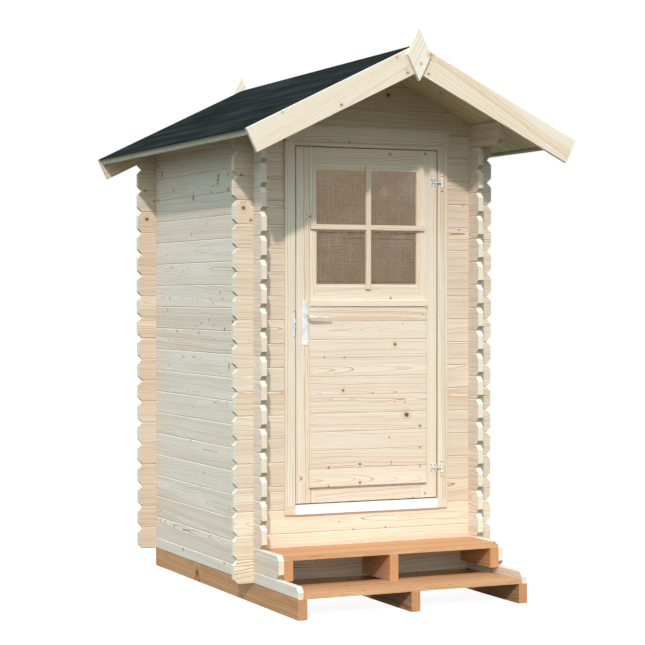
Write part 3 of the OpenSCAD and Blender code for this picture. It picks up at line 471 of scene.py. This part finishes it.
def slated_felt():
    """Dark slate grains over bitumen, with long soft streaks and a low step at each lap."""
    material, start, shader = new_finish("slated_felt")
    x, y, z = place_on(start)
    down = x.math("ABSOLUTE") / math.cos(roof_slope)
    streak = cloud(start, y * 1.3, down * 15.0, x.math("SIGN") * 7.0, detail=4.0, roughness=0.55)
    patch = cloud(start, y * 3.0, down * 5.0, x.math("SIGN") * 3.0)
    fine = 420.0
    grains = {"Vector": spot(start, down * fine, y * fine, z * fine), "Scale": 1.0}
    grain = start.node("ShaderNodeTexVoronoi", {"feature": "F1"}, grains, output="Distance")
    fleck = chances(start.node("ShaderNodeTexVoronoi", {"feature": "F1"}, grains, output="Color"))[0]
    strip_w = 0.475
    lap = ((down + y * 0.002) / strip_w + 0.02).math("FRACT")
    step = lap.over(0.0, 0.012) * (1.0 - lap.over(0.012, 0.06))
    colour = blend_tone(shade(32, 34, 34), shade(54, 57, 57), streak.over(0.36, 0.72) * 0.75 + fleck * 0.2)
    colour = blend_tone(colour, shade(22, 25, 27), patch.over(0.45, 0.8) * 0.5)
    colour = blend_tone(colour, shade(92, 98, 104), fleck.over(0.93, 0.98) * 0.3)
    colour = blend_tone(colour, shade(16, 19, 22), step * 0.35)
    height = grain * -0.6 + streak * 0.5 - step * 1.2
    fill(shader, {"Base Color": colour, "Roughness": fleck * 0.15 + 0.78, "Specular IOR Level": 0.0,
                  "Normal": relief(height, 0.6, 0.0015)})
    return material


dress(slated_felt(), "roof_felt")


# ---------------------------------------------------------------- barge boards and finials
# Planed boards close both gables, mitred at the ridge, with a diamond nailed over each mitre.
# They are the palest wood of the shed.

# painted highlight: rim pales a thin band along the front boards' upper edge. The end tone is the end grain's
# own greyer colour, darkened further as painted shade, since the end cuts face down.
barge_tones = toned(spruce_tones, pale=(242, 229, 209), warm=(237, 219, 192), dull=(231, 215, 191),
                    late=(210, 158, 104), knot=(206, 160, 118), heart=(104, 74, 50),
                    end=(196, 206, 202), rim=(255, 252, 244))
barge_marks = ((-0.676, 2.263, 0.006, 0.9, -1), (-1.030, 2.346, 0.005, 0.3, -1),
               (-1.050, 2.261, 0.006, 0.6, -1), (-0.395, 2.351, 0.004, 0.2, -1),
               (-1.075, 2.349, 0.011, 0.1, 1), (-1.045, 2.262, 0.005, 0.9, 1))
dress(solid_wood("spruce_front_barges", barge_tones, grain=0, wide=2, origin=(0, -1.072, 2.25), seed=51.0,
                 slope=roof_slope, knotty=0.0, marks=barge_marks, ring=0.0085, pith=(-0.16, 0.09, 0.09),
                 clear=(0.205, 0.23), line=0.85, rim=(0.1035, 0.1065, 0.4)), "front_barge_boards")
dress(solid_wood("spruce_back_barges", barge_tones, grain=0, wide=2, origin=(0, 1.072, 2.3), seed=52.0,
                 slope=roof_slope, knotty=0.15), "back_barge_boards")
finial_tones = toned(barge_tones, pale=(244, 237, 222), warm=(240, 229, 207), late=(220, 178, 130))
finial_lean = math.radians(27.3)
dress(solid_wood("spruce_finials", finial_tones, grain=2, wide=0, origin=(-1.18, -2.2, 2.29),
                 pitch=(0, 2.2, 0), seed=53.0, slope=finial_lean, both=False, knotty=0.0, ring=0.011,
                 pith=(-0.16, 0.06, 0.0), line=0.6,
                 marks=((2.3134, -1.1320, 0.009, 0.0), (2.2540, -1.1554, 0.005, 0.2))), "finials")


# ---------------------------------------------------------------- door leaf
# Two fluted stiles and three rails, tenoned and glued, with planks nailed over the lower half
# and a ledge that throws the rain off them.

leaf_y = -0.53
door_tones = toned(spruce_tones, pale=(248, 236, 218), warm=(243, 226, 202), dull=(236, 221, 199),
                   late=(200, 152, 106))
dress(solid_wood("spruce_stiles", door_tones, grain=2, wide=0, origin=(-0.8, leaf_y, 0), pitch=(0.8, 0, 0),
                 seed=61.0, knotty=0.0, ring=0.0125, pith=(0.16, 0.06, 0.0), line=0.65,
                 marks=((2.168, 0.316, 0.005, 0.6), (1.847, -0.307, 0.005, 0.6), (0.487, 0.316, 0.004, 0.6),
                        (0.587, -0.354, 0.006, 0.1))), "door_stiles")
dress(solid_wood("spruce_rails", door_tones, grain=0, wide=2, origin=(0, leaf_y, 0.3), pitch=(0, 0, 0.8),
                 seed=62.0, knotty=0.0, marks=((0.126, 1.454, 0.005, 0.6), (0.123, 2.159, 0.005, 0.6),
                                               (0.249, 0.467, 0.004, 0.6))), "door_rails")
plank_pitch = 0.089
plank_tones = toned(door_tones, pale=(248, 232, 213), warm=(243, 222, 198), dull=(236, 218, 195))
dress(solid_wood("spruce_planks", plank_tones, grain=0, wide=2, origin=(0, face_y, 0.5413),
                 pitch=(0, 0, plank_pitch), seed=63.0, joint=plank_pitch / 2, knotty=0.05, wavy=0.7,
                 arris=0.5, line=1.2,
                 marks=((0.141, 1.228, 0.008, 0.6), (0.205, 0.881, 0.013, 0.7), (0.279, 0.824, 0.006, 0.6),
                        (-0.239, 1.168, 0.004, 0.6), (-0.133, 1.167, 0.004, 0.6), (-0.217, 0.636, 0.005, 0.9),
                        (-0.049, 0.647, 0.006, 1.0), (-0.217, 0.546, 0.004, 0.9), (-0.049, 0.557, 0.006, 1.0),
                        (0.280, 0.717, 0.005, 0.5), (0.280, 0.628, 0.005, 0.5), (0.120, 0.650, 0.004, 0.3),
                        (0.139, 0.947, 0.003, 0.6), (0.195, 0.943, 0.003, 0.6))), "door_planks")
dress(solid_wood("spruce_ledge", door_tones, grain=0, wide=2, origin=(0, face_y, 1.43), seed=64.0,
                 knotty=0.0, line=0.5), "door_ledge")
bar_tones = toned(door_tones, pale=(244, 230, 205), warm=(238, 218, 188))
dress(solid_wood("spruce_beads", bar_tones, grain=0, wide=2, origin=(0, leaf_y, 1.2), pitch=(0, 0, 0.3),
                 seed=65.0, knotty=0.0, line=0.6, upright=(0.271, 1.0)), "glazing_beads")
dress(solid_wood("spruce_bars", bar_tones, grain=0, wide=2, origin=(0, face_y, 1.8), seed=66.0,
                 knotty=0.0, line=0.6, upright=(-1.0, 0.0121)), "glazing_bars")


# ---------------------------------------------------------------- glass
# One pane of clear float glass is bedded between the beads.
# It carries a pale, uneven haze of painted reflection, in clouds along the top of the panes.

def window_glass():
    """Clear glass under a thin, uneven haze of painted reflection."""
    material, start, shader = new_finish("window_glass")
    x, y, z = place_on(start)
    reflection_haze = cloud(start, x * 12.0 + 3.0, y, z * 10.0, detail=1.0)
    # the painted reflection is thickest along the top of each pane, and in the upper panes
    pane_foot, pane_h = 1.512, 0.2865
    high = ((z - pane_foot) / pane_h).math("FRACT").over(0.35, 1.0) * (z.over(1.78, 1.82) * 0.11 + 0.03)
    fill(shader, {"Base Color": shade(226, 222, 224), "Roughness": 0.06,
                  "Alpha": reflection_haze.over(0.42, 0.8) * (high + 0.015) + 0.006})
    return material


dress(window_glass(), "door_glass")


# ---------------------------------------------------------------- cloth behind the glass
# A sheet of coarse brown weave is pinned flat behind the pane, held in by the inner beads.
# Its yarns are uneven, so that some lie darker than others.

def darkened(tone, share):
    """A colour taken a share of the way to black."""
    return tone.node("ShaderNodeMix", {"data_type": "RGBA"}, {0: share, 6: tone, 7: (0, 0, 0, 1)}, output=2)


def woven_cloth():
    """Plain weave: a thread over and a thread under, with each thread's own tone and its slubs."""
    material, start, shader = new_finish("brown_weave")
    u, v, _ = parts(start.node("ShaderNodeTexCoord", output="UV"))
    ends, picks = 148.0, 152.0
    warp, weft = u * ends, v * picks
    by_number = {"noise_dimensions": "1D"}
    end_tone = start.node("ShaderNodeTexWhiteNoise", by_number, {"W": warp.math("FLOOR")})
    pick_tone = start.node("ShaderNodeTexWhiteNoise", by_number, {"W": weft.math("FLOOR") + 500.5})
    over = (warp * math.pi).math("SINE") * (weft * math.pi).math("SINE")
    hollow = over.math("ABSOLUTE")
    # every few yarns the weave stands open and shows the dark behind it as a broken line
    slack_u = cloud(start, u * 9.0, v * 2.5, 3.0)
    slack_v = cloud(start, u * 2.5, v * 9.0, 6.0)
    broken_u = cloud(start, warp * 0.3, v * 12.0, 1.0, detail=3.0, roughness=0.6)
    broken_v = cloud(start, u * 12.0, weft * 0.3, 5.0, detail=3.0, roughness=0.6)
    gap_u = ((u * 41.0 + slack_u * 1.2) * math.tau).math("COSINE").over(0.35, 0.9)
    gap_v = ((v * 40.0 + slack_v * 1.2) * math.tau).math("COSINE").over(0.35, 0.9)
    open_line = (gap_u * broken_u.over(0.36, 0.5)).math("MAXIMUM", gap_v * broken_v.over(0.4, 0.6))
    haze = cloud(start, u * 5.0, v * 5.0, 9.0)
    thread = blend_tone(shade(160, 140, 116), shade(149, 127, 104), end_tone * 0.5 + pick_tone * 0.5)
    thread = blend_tone(thread, shade(104, 82, 58), open_line * 0.48)
    # here and there a dark pick or end runs on for a hand's breadth
    stray_pick = pick_tone.over(0.955, 0.96) * broken_v.over(0.4, 0.55)
    stray_end = end_tone.over(0.975, 0.98) * broken_u.over(0.45, 0.6)
    thread = blend_tone(thread, shade(96, 74, 52), stray_pick.math("MAXIMUM", stray_end) * 0.7)
    # painted shade where the yarns dip between their crossings
    thread = blend_tone(thread, shade(104, 84, 62), (1.0 - hollow.over(0.0, 0.3)) * 0.12)
    thread = blend_tone(thread, shade(168, 150, 132), haze.over(0.52, 0.8) * 0.2)
    # painted light: most of the cloth's colour is a glow of its own, so the roof's shadow doesn't darken it
    fill(shader, {"Base Color": darkened(thread, 0.93), "Emission Color": darkened(thread, 0.21),
                  "Emission Strength": 1.0, "Roughness": 0.9, "Specular IOR Level": 0.1,
                  "Normal": relief(over, 0.35, 0.0006)})
    return material


def skin(name, points, closed=False):
    """One mesh over one or more grids of points, each given as rows of columns. A cell joins a point
    to its neighbours in the next row and column. A closed one has its last column joined to the
    first, and a flat face over its first and last row."""
    rows, columns = points.shape[-3:-1]
    number = np.arange(points.size // 3).reshape(-1, rows, columns)
    ring = np.concatenate([number, number[:, :, :1]], axis=2) if closed else number
    faces = np.stack([ring[:, :-1, :-1], ring[:, :-1, 1:], ring[:, 1:, 1:], ring[:, 1:, :-1]], axis=-1)
    faces = faces.reshape(-1, 4).tolist()
    if closed:
        faces += number[:, 0, ::-1].tolist()
        faces += number[:, -1].tolist()
    mesh = bpy.data.meshes.new(name)
    mesh.from_pydata(points.reshape(-1, 3).tolist(), [], faces)
    mesh.shade_smooth()
    piece = bpy.data.objects.new(name, mesh)
    bpy.context.scene.collection.objects.link(piece)
    return piece


cloth_w, cloth_l = 0.562, 0.573
low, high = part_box("door_cloth")
u, v = np.meshgrid(np.linspace(0, 1, 72), np.linspace(0, 1, 72))
# The cloth is flat but for a ripple of a fifth of a millimetre: the product of a sine along a wavy
# line and of half a sine each way, which dies out at its edges.
ripple = 0.0002 * np.sin(11 * u + 3 * np.sin(7 * v)) * np.sin(np.pi * u) * np.sin(np.pi * v)
cloth = skin("window_cloth", np.stack([low[0] + u * cloth_w, (low[1] + high[1]) / 2 + ripple,
                                       low[2] + v * cloth_l], axis=-1))
chart = cloth.data.uv_layers.new(name="weave")
corner = np.empty(len(cloth.data.loops), int)
cloth.data.loops.foreach_get("vertex_index", corner)
chart.data.foreach_set("uv", np.stack([u.ravel()[corner], v.ravel()[corner]], axis=-1).ravel())
cloth.data.materials.append(woven_cloth())
thicken = cloth.modifiers.new("yarn", "SOLIDIFY")
thicken.thickness = 0.0008
thicken.offset = 0.0
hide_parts("door_cloth")
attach(cloth, "door")


# ---------------------------------------------------------------- hinges
# Two stout hinges of galvanised steel carry the leaf. Each has a flange let in flush and held by
# four screws, an arm to its knuckle, and a pin with round caps that stands on the jamb.

def satin_metal(name, tone, dull, rough, metallic=0.9, bands=()):
    """Brushed metal: fine scratches up and down, dull patches, and shade in the cut of a screw.
    bands are the heights of hinges whose pins have a dark joint above and below the middle."""
    material, start, shader = new_finish(name)
    x, y, z = place_on(start)
    brushed = cloud(start, x * 1500.0, y * 1500.0, z * 40.0, detail=2.0)
    patch = cloud(start, x * 25.0, y * 25.0, z * 18.0, detail=3.0)
    hollow = start.node("ShaderNodeAttribute", {"attribute_name": "hollow"}, output="Fac")
    colour = blend_tone(tone, dull, patch.over(0.4, 0.8) * 0.6 + brushed * 0.2)
    colour = blend_tone(colour, shade(58, 54, 48), hollow)
    for height in bands:
        gap = (z - height).math("ABSOLUTE")
        gap = gap.over(0.0245, 0.0255) * (1.0 - gap.over(0.0305, 0.0315))
        colour = blend_tone(colour, shade(160, 156, 146), gap)
    fill(shader, {"Base Color": colour, "Metallic": metallic, "Normal": relief(brushed, 0.12, 0.0002),
                  "Roughness": patch * 0.16 + brushed * 0.08 + rough})
    return material


def heads(name, places, facing, radius, rise, cut=0.0, sides=24):
    """Round heads at places on a flat face. The height over the face is the rise times the root of
    one less the square of the distance from the axis, as a share of the radius. A cross is cut
    where the sine of twice the angle is small; it is kept in the attribute hollow."""
    out, angle = np.meshgrid([1.0, 0.97, 0.86, 0.66, 0.5, 0.3, 0.08],
                             np.arange(sides) * math.tau / sides, indexing="ij")
    arm = np.clip(1.3 - 2.6 * np.abs(np.sin(2 * angle)), 0, 1) * (out < 0.6) * (cut > 0)
    height = rise * np.sqrt(1 - out ** 2) - cut * arm
    facing = np.array(facing, float)
    across = np.cross(facing, np.roll(facing, 1))
    up = np.cross(facing, across)
    flat = radius * out[..., None] * (np.cos(angle)[..., None] * across + np.sin(angle)[..., None] * up)
    points = np.array(places, float)[:, None, None] + flat + height[..., None] * facing
    piece = skin(name, points, closed=True)
    held = piece.data.attributes.new("hollow", "FLOAT", "POINT")
    held.data.foreach_set("value", np.tile(arm.ravel(), len(points)).astype(np.float32))
    return piece


zinc = satin_metal("galvanised_steel", shade(228, 229, 222), shade(192, 193, 186), 0.34)
dress(zinc, "hinge_leaves")
hinge_z = (0.614, 2.028)
dress(satin_metal("bright_pin", shade(246, 246, 236), shade(222, 220, 208), 0.4, metallic=0.6, bands=hinge_z),
      "hinge_pins")
flange_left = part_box("hinge_leaves")[0][0]
flange_front = -0.553
spread = [[flange_left + inset, flange_front, z + tab] for inset in (0.008, 0.0255)
          for z in hinge_z for tab in (-0.0143, 0.0143)]
hinge_screws = heads("hinge_screws", spread, (0, -1, 0), radius=0.0042, rise=0.0016, cut=0.0022)
zinc_screws = satin_metal("zinc_screws", shade(176, 172, 162), shade(146, 142, 132), 0.5)
hinge_screws.data.materials.append(zinc_screws)
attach(hinge_screws, "door")


# ---------------------------------------------------------------- handle and lock
# A satin lever on long plates works the lock. Each half of the lever is one bar, drawn out of its
# plate, bent once and tapered to its tip. The latch shoots into a plate let into the jamb.

satin = satin_metal("satin_alloy", shade(232, 231, 228), shade(186, 190, 190), 0.3)
dress(satin, "handle_plates")
nickel = satin_metal("nickel_plate", shade(250, 246, 236), shade(226, 220, 208), 0.34, metallic=0.6)
dress(nickel, "lock_cylinder")
dull_steel = satin_metal("dull_steel", shade(120, 114, 102), shade(84, 78, 68), 0.5)
dress(satin_metal("worn_zinc", shade(210, 216, 216), shade(172, 178, 178), 0.42), "strike_plate")

pivot = {joint["name"]: joint["pos_m"] for joint in frame["joints"]}["lever_turn"]
spindle_x, spindle_z = pivot[0], pivot[2]
low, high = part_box("handle_lever")
plate_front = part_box("handle_plates")[0][1]
bend = 0.010
blade_y = low[1] + 0.007
neck = plate_front - blade_y - bend
quarter = bend * math.pi / 2
length = neck + quarter + high[0] - spindle_x - bend
# The bar's heading turns by a quarter through the bend, and its places are the running sum of its
# headings. Its section is a rounded oblong: each side is a power of the cosine or sine.
step = np.linspace(0, length, 96)
heading = np.clip((step - neck) / quarter, 0, 1) * math.pi / 2 - math.pi / 2
walk = np.gradient(step)
line_x = spindle_x + np.cumsum(np.cos(heading) * walk)
line_y = plate_front + 0.0005 + np.cumsum(np.sin(heading) * walk)
along = np.clip((step - neck - quarter) / (length - neck - quarter), 0, 1)
tip = np.sqrt(np.clip(1 - np.clip((step - length + 0.0025) / 0.0027, 0, 1) ** 2, 0, 1))
collar = 1 + 0.25 * np.exp(-(step / 0.0025) ** 2)
half_high = (0.0062 - 0.0024 * along) * tip * collar
half_deep = (0.0060 - 0.0022 * along) * tip * collar
turn = np.arange(40) * math.tau / 40
side = half_deep[:, None] * np.sign(np.cos(turn)) * np.abs(np.cos(turn)) ** 0.45
lift = half_high[:, None] * np.sign(np.sin(turn)) * np.abs(np.sin(turn)) ** 0.45
outer = np.stack([line_x[:, None] - np.sin(heading)[:, None] * side,
                  line_y[:, None] + np.cos(heading)[:, None] * side, spindle_z + lift], axis=-1)
inner = outer[:, ::-1] * (1, -1, 1) + (0, low[1] + high[1], 0)
lever = skin("lever_bars", np.stack([outer, inner]), closed=True)
lever.data.materials.append(satin)
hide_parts("handle_lever")
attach(lever, "lever")

plate_low, plate_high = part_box("handle_plates")
plate_screws = heads("plate_screws", [[spindle_x, plate_front, plate_low[2] + 0.010],
                                      [spindle_x, plate_front, plate_high[2] - 0.010]],
                     (0, -1, 0), radius=0.0033, rise=0.0009, cut=0.0012)
plate_screws.data.materials.append(satin)
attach(plate_screws, "door")


def rounded(name, centre, half):
    """A block with rounded edges: along each axis half its size times a power of the cosine or sine
    of its two angles, as on a ball that is pressed towards a box."""
    power = 0.3
    rise, turn = np.meshgrid(np.linspace(-0.498, 0.498, 17) * math.pi, np.arange(32) * math.tau / 32,
                             indexing="ij")
    pressed = [np.sign(part) * np.abs(part) ** power for part in (np.cos(turn), np.sin(turn), np.sin(rise))]
    slim = np.abs(np.cos(rise)) ** power
    return skin(name, np.stack([centre[0] + half[0] * slim * pressed[0],
                                centre[1] + half[1] * slim * pressed[1],
                                centre[2] + half[2] * pressed[2]], axis=-1), closed=True)


stile_low, stile_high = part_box("door_stiles")
leaf_edge = stile_low[0]
strike_low, strike_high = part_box("strike_plate")
latch_z = strike_low[2] + 0.071
cylinder_low, cylinder_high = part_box("lock_cylinder")
key_place = (spindle_x, cylinder_low[1], cylinder_high[2] - 0.0085)
for name, centre, half, finish in (
        ("lock_forend", (leaf_edge, -0.5395, latch_z - 0.006), (0.0005, 0.0095, 0.061), dull_steel),
        ("latch_bolt", (leaf_edge - 0.001, -0.5425, latch_z), (0.0030, 0.0050, 0.0085), nickel),
        ("lock_bolt", (leaf_edge, -0.5425, latch_z - 0.027), (0.0016, 0.0050, 0.0060), nickel),
        # key_slot is a dark block on the cylinder's face: painted shade standing for the keyway's hollow
        ("key_slot", key_place, (0.0011, 0.0003, 0.0032), dull_steel)):
    piece = rounded(name, centre, half)
    piece.data.materials.append(finish)
    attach(piece, "door")

strike_screws = heads("strike_screws", [[strike_low[0] + 0.005, strike_low[1], strike_high[2] + 0.006],
                                        [strike_low[0] + 0.005, strike_low[1], strike_low[2] - 0.006]],
                      (0, -1, 0), radius=0.0032, rise=0.0008, cut=0.0014)
strike_screws.data.materials.append(dull_steel)
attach(strike_screws, "shed")


# ---------------------------------------------------------------- brown strip of painted shade in the gap
# A soft brown strip is pressed into the gap round the leaf, along both jambs and the head. It is a
# half round of foam with a fine skin, and stops short of the strike plate. Its brown is painted
# shade: it stands for the warm shade deep in the gap.

def brown_foam():
    """Brown foam: a matt skin with fine pores and a few paler rubbed places."""
    material, start, shader = new_finish("brown_foam")
    x, y, z = place_on(start)
    pores = cloud(start, x * 900.0, y * 900.0, z * 900.0, detail=3.0)
    rubbed = cloud(start, x * 30.0, y * 30.0, z * 9.0)
    colour = blend_tone(shade(172, 132, 100), shade(196, 158, 124), rubbed.over(0.4, 0.8))
    colour = blend_tone(colour, shade(120, 88, 64), pores.over(0.55, 0.8) * 0.5)
    fill(shader, {"Base Color": colour, "Roughness": pores * 0.2 + 0.7, "Normal": relief(pores, 0.4, 0.0003)})
    return material


def strip_run(name, route):
    """A half round carried along a route of corners, each given as a side of -1 or 1, a height, and 1
    where the run turns. A point of the section lies its own depth inwards from the frame."""
    turn = np.linspace(math.pi, 0, 9)
    depth = strip_deep * np.sin(turn)
    sides, heights, mitred = np.array(route, float).T[:, :, None]
    x = sides * (half_gap - depth)
    y = np.broadcast_to(strip_y + strip_half * np.cos(turn), x.shape)
    return skin(name, np.stack([x, y, heights - depth * mitred], axis=-1), closed=True)


half_gap = 0.3853
strip_y, strip_half, strip_deep = -0.5455, 0.0032, 0.0028
leaf_foot, strip_top = stile_low[2], stile_high[2] + 0.0052
foam = brown_foam()
for name, route in (("draught_strip", ((-1, strike_high[2] + 0.012, 0), (-1, strip_top, 1),
                                       (1, strip_top, 1), (1, leaf_foot, 0))),
                    ("draught_strip_low", ((-1, leaf_foot, 0), (-1, strike_low[2] - 0.012, 0)))):
    run = strip_run(name, route)
    run.data.materials.append(foam)
    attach(run, "shed")


# ---------------------------------------------------------------- nails
# Round wire nails hold the barge boards and the treads. They are driven flush, and
# their heads have kept their zinc.

ridge_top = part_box("front_barge_boards")[1][2]
side, inset, down = [grid.ravel() for grid in np.meshgrid((-1, 1), (0.026, 0.094), (0.10, 0.46, 0.83))]
nail_x = side * (down * math.cos(roof_slope) - inset * math.sin(roof_slope))
nail_z = ridge_top - down * math.sin(roof_slope) - inset * math.cos(roof_slope)
for name, node, front in (("front_nails", "front_barge_boards", -1), ("back_nails", "back_barge_boards", 1)):
    low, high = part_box(node)
    face = low[1] if front < 0 else high[1]
    spots = np.stack([nail_x, np.full(nail_x.shape, face), nail_z], axis=-1)
    nails = heads(name, spots, (0, front, 0), radius=0.0022, rise=0.0004, sides=10)
    nails.data.materials.append(zinc)
    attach(nails, "shed")
tread_spots = [[x, low[1] + share * (high[1] - low[1]), high[2]]
               for low, high in (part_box("lower_tread"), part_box("upper_tread"))
               for x in (-0.545, 0.0, 0.545) for share in (0.12, 0.5)]
tread_nails = heads("tread_nails", tread_spots, (0, 0, 1), radius=0.0028, rise=0.0005, sides=10)
tread_nails.data.materials.append(zinc)
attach(tread_nails, "shed")


# ---------------------------------------------------------------- treads and step bearers
# Two treated planks make the steps, nailed to bearers between the side logs that run out past
# the front wall.

tread_tones = toned(treated_tones, pale=(233, 184, 139), warm=(225, 170, 124), dull=(213, 163, 119),
                    late=(190, 131, 88))
dress(solid_wood("treated_treads", tread_tones, grain=0, wide=1, origin=(0, -1.5, -0.1),
                 pitch=(0, 0, 0.2), seed=71.0, ring=0.014, knotty=0.08, line=1.7, soft=0.4,
                 marks=((-0.258, -1.042, 0.006, 0.9), (0.190, -1.042, 0.005, 0.9))),
      "lower_tread", "upper_tread")
dress(solid_wood("treated_step_bearers", treated_tones, grain=1, wide=2, pitch=(joist_pitch, 0, 0),
                 origin=(-1.5 * joist_pitch, 0, 0.17), seed=72.0, knotty=0.15), "step_bearers")


# ---------------------------------------------------------------- floor, light and camera
# The shed stands on a plain pale floor, with white all round it. Soft light comes from the whole
# sky, and one broad lamp shines from the left of the door, as the sun does in the morning.

def seen(start):
    """1 for rays from the eye, straight or by way of gloss or glass, and 0 for all others."""
    rays = start.node("ShaderNodeLightPath", output="Is Camera Ray")
    for kind in ("Is Glossy Ray", "Is Transmission Ray"):
        rays = rays.math("MAXIMUM", start.node("ShaderNodeLightPath", output=kind))
    return rays


def plain_stage():
    """A white floor that keeps shadows and looks as bright as the air behind it."""
    material, start, shader = new_finish("plain_floor")
    rays = seen(start)
    fill(shader, {"Base Color": blend_tone((0.06, 0.06, 0.055, 1), (0.5, 0.5, 0.5, 1), rays),
                  "Emission Color": blend_tone((0, 0, 0, 1), (0.91, 0.91, 0.91, 1), rays),
                  "Emission Strength": 1.0, "Roughness": 0.9, "Specular IOR Level": 0.0})
    return material


reach = 60.0
corners = [(-reach, -reach, 0), (reach, -reach, 0), (reach, reach, 0), (-reach, reach, 0)]
ground = bpy.data.meshes.new("floor")
ground.from_pydata(corners, [], [(0, 1, 2, 3)])
ground.materials.append(plain_stage())
floor = bpy.data.objects.new("floor", ground)
bpy.context.scene.collection.objects.link(floor)

world = bpy.data.worlds.new("studio")
bpy.context.scene.world = world
world.use_nodes = True
sky_light, white = (0.965, 1.195, 1.255, 1), (1, 1, 1, 1)
air = blend_tone(sky_light, white, seen(Wire(world.node_tree)))
fill(world.node_tree.nodes["Background"], {"Color": air, "Strength": 1.0})

lamp = bpy.data.lights.new("key_light", "SUN")
lamp.energy = 2.05
lamp.color = (1.0, 0.91, 0.915)
lamp.angle = math.radians(2.2)
sun = bpy.data.objects.new("key_light", lamp)
# how far its light runs to the right, to the back and down
right, back, down = 0.4345, 0.7302, 0.5272
sun.rotation_euler = (math.atan2(math.hypot(right, back), down), 0.0, math.atan2(back, right) - math.pi / 2)
bpy.context.scene.collection.objects.link(sun)

camera = bpy.data.objects.new("camera", bpy.data.cameras.new("camera"))
camera.data.lens = 104.47
camera.data.sensor_width = 36.0
camera.location = (-3.9759, -8.7734, 1.4663)
dips, turned_right = 0.8212, 24.4264
camera.rotation_euler = (math.radians(90 - dips), 0.0, math.radians(-turned_right))
bpy.context.scene.collection.objects.link(camera)
bpy.context.scene.camera = camera
bpy.context.scene.view_settings.view_transform = "Standard"
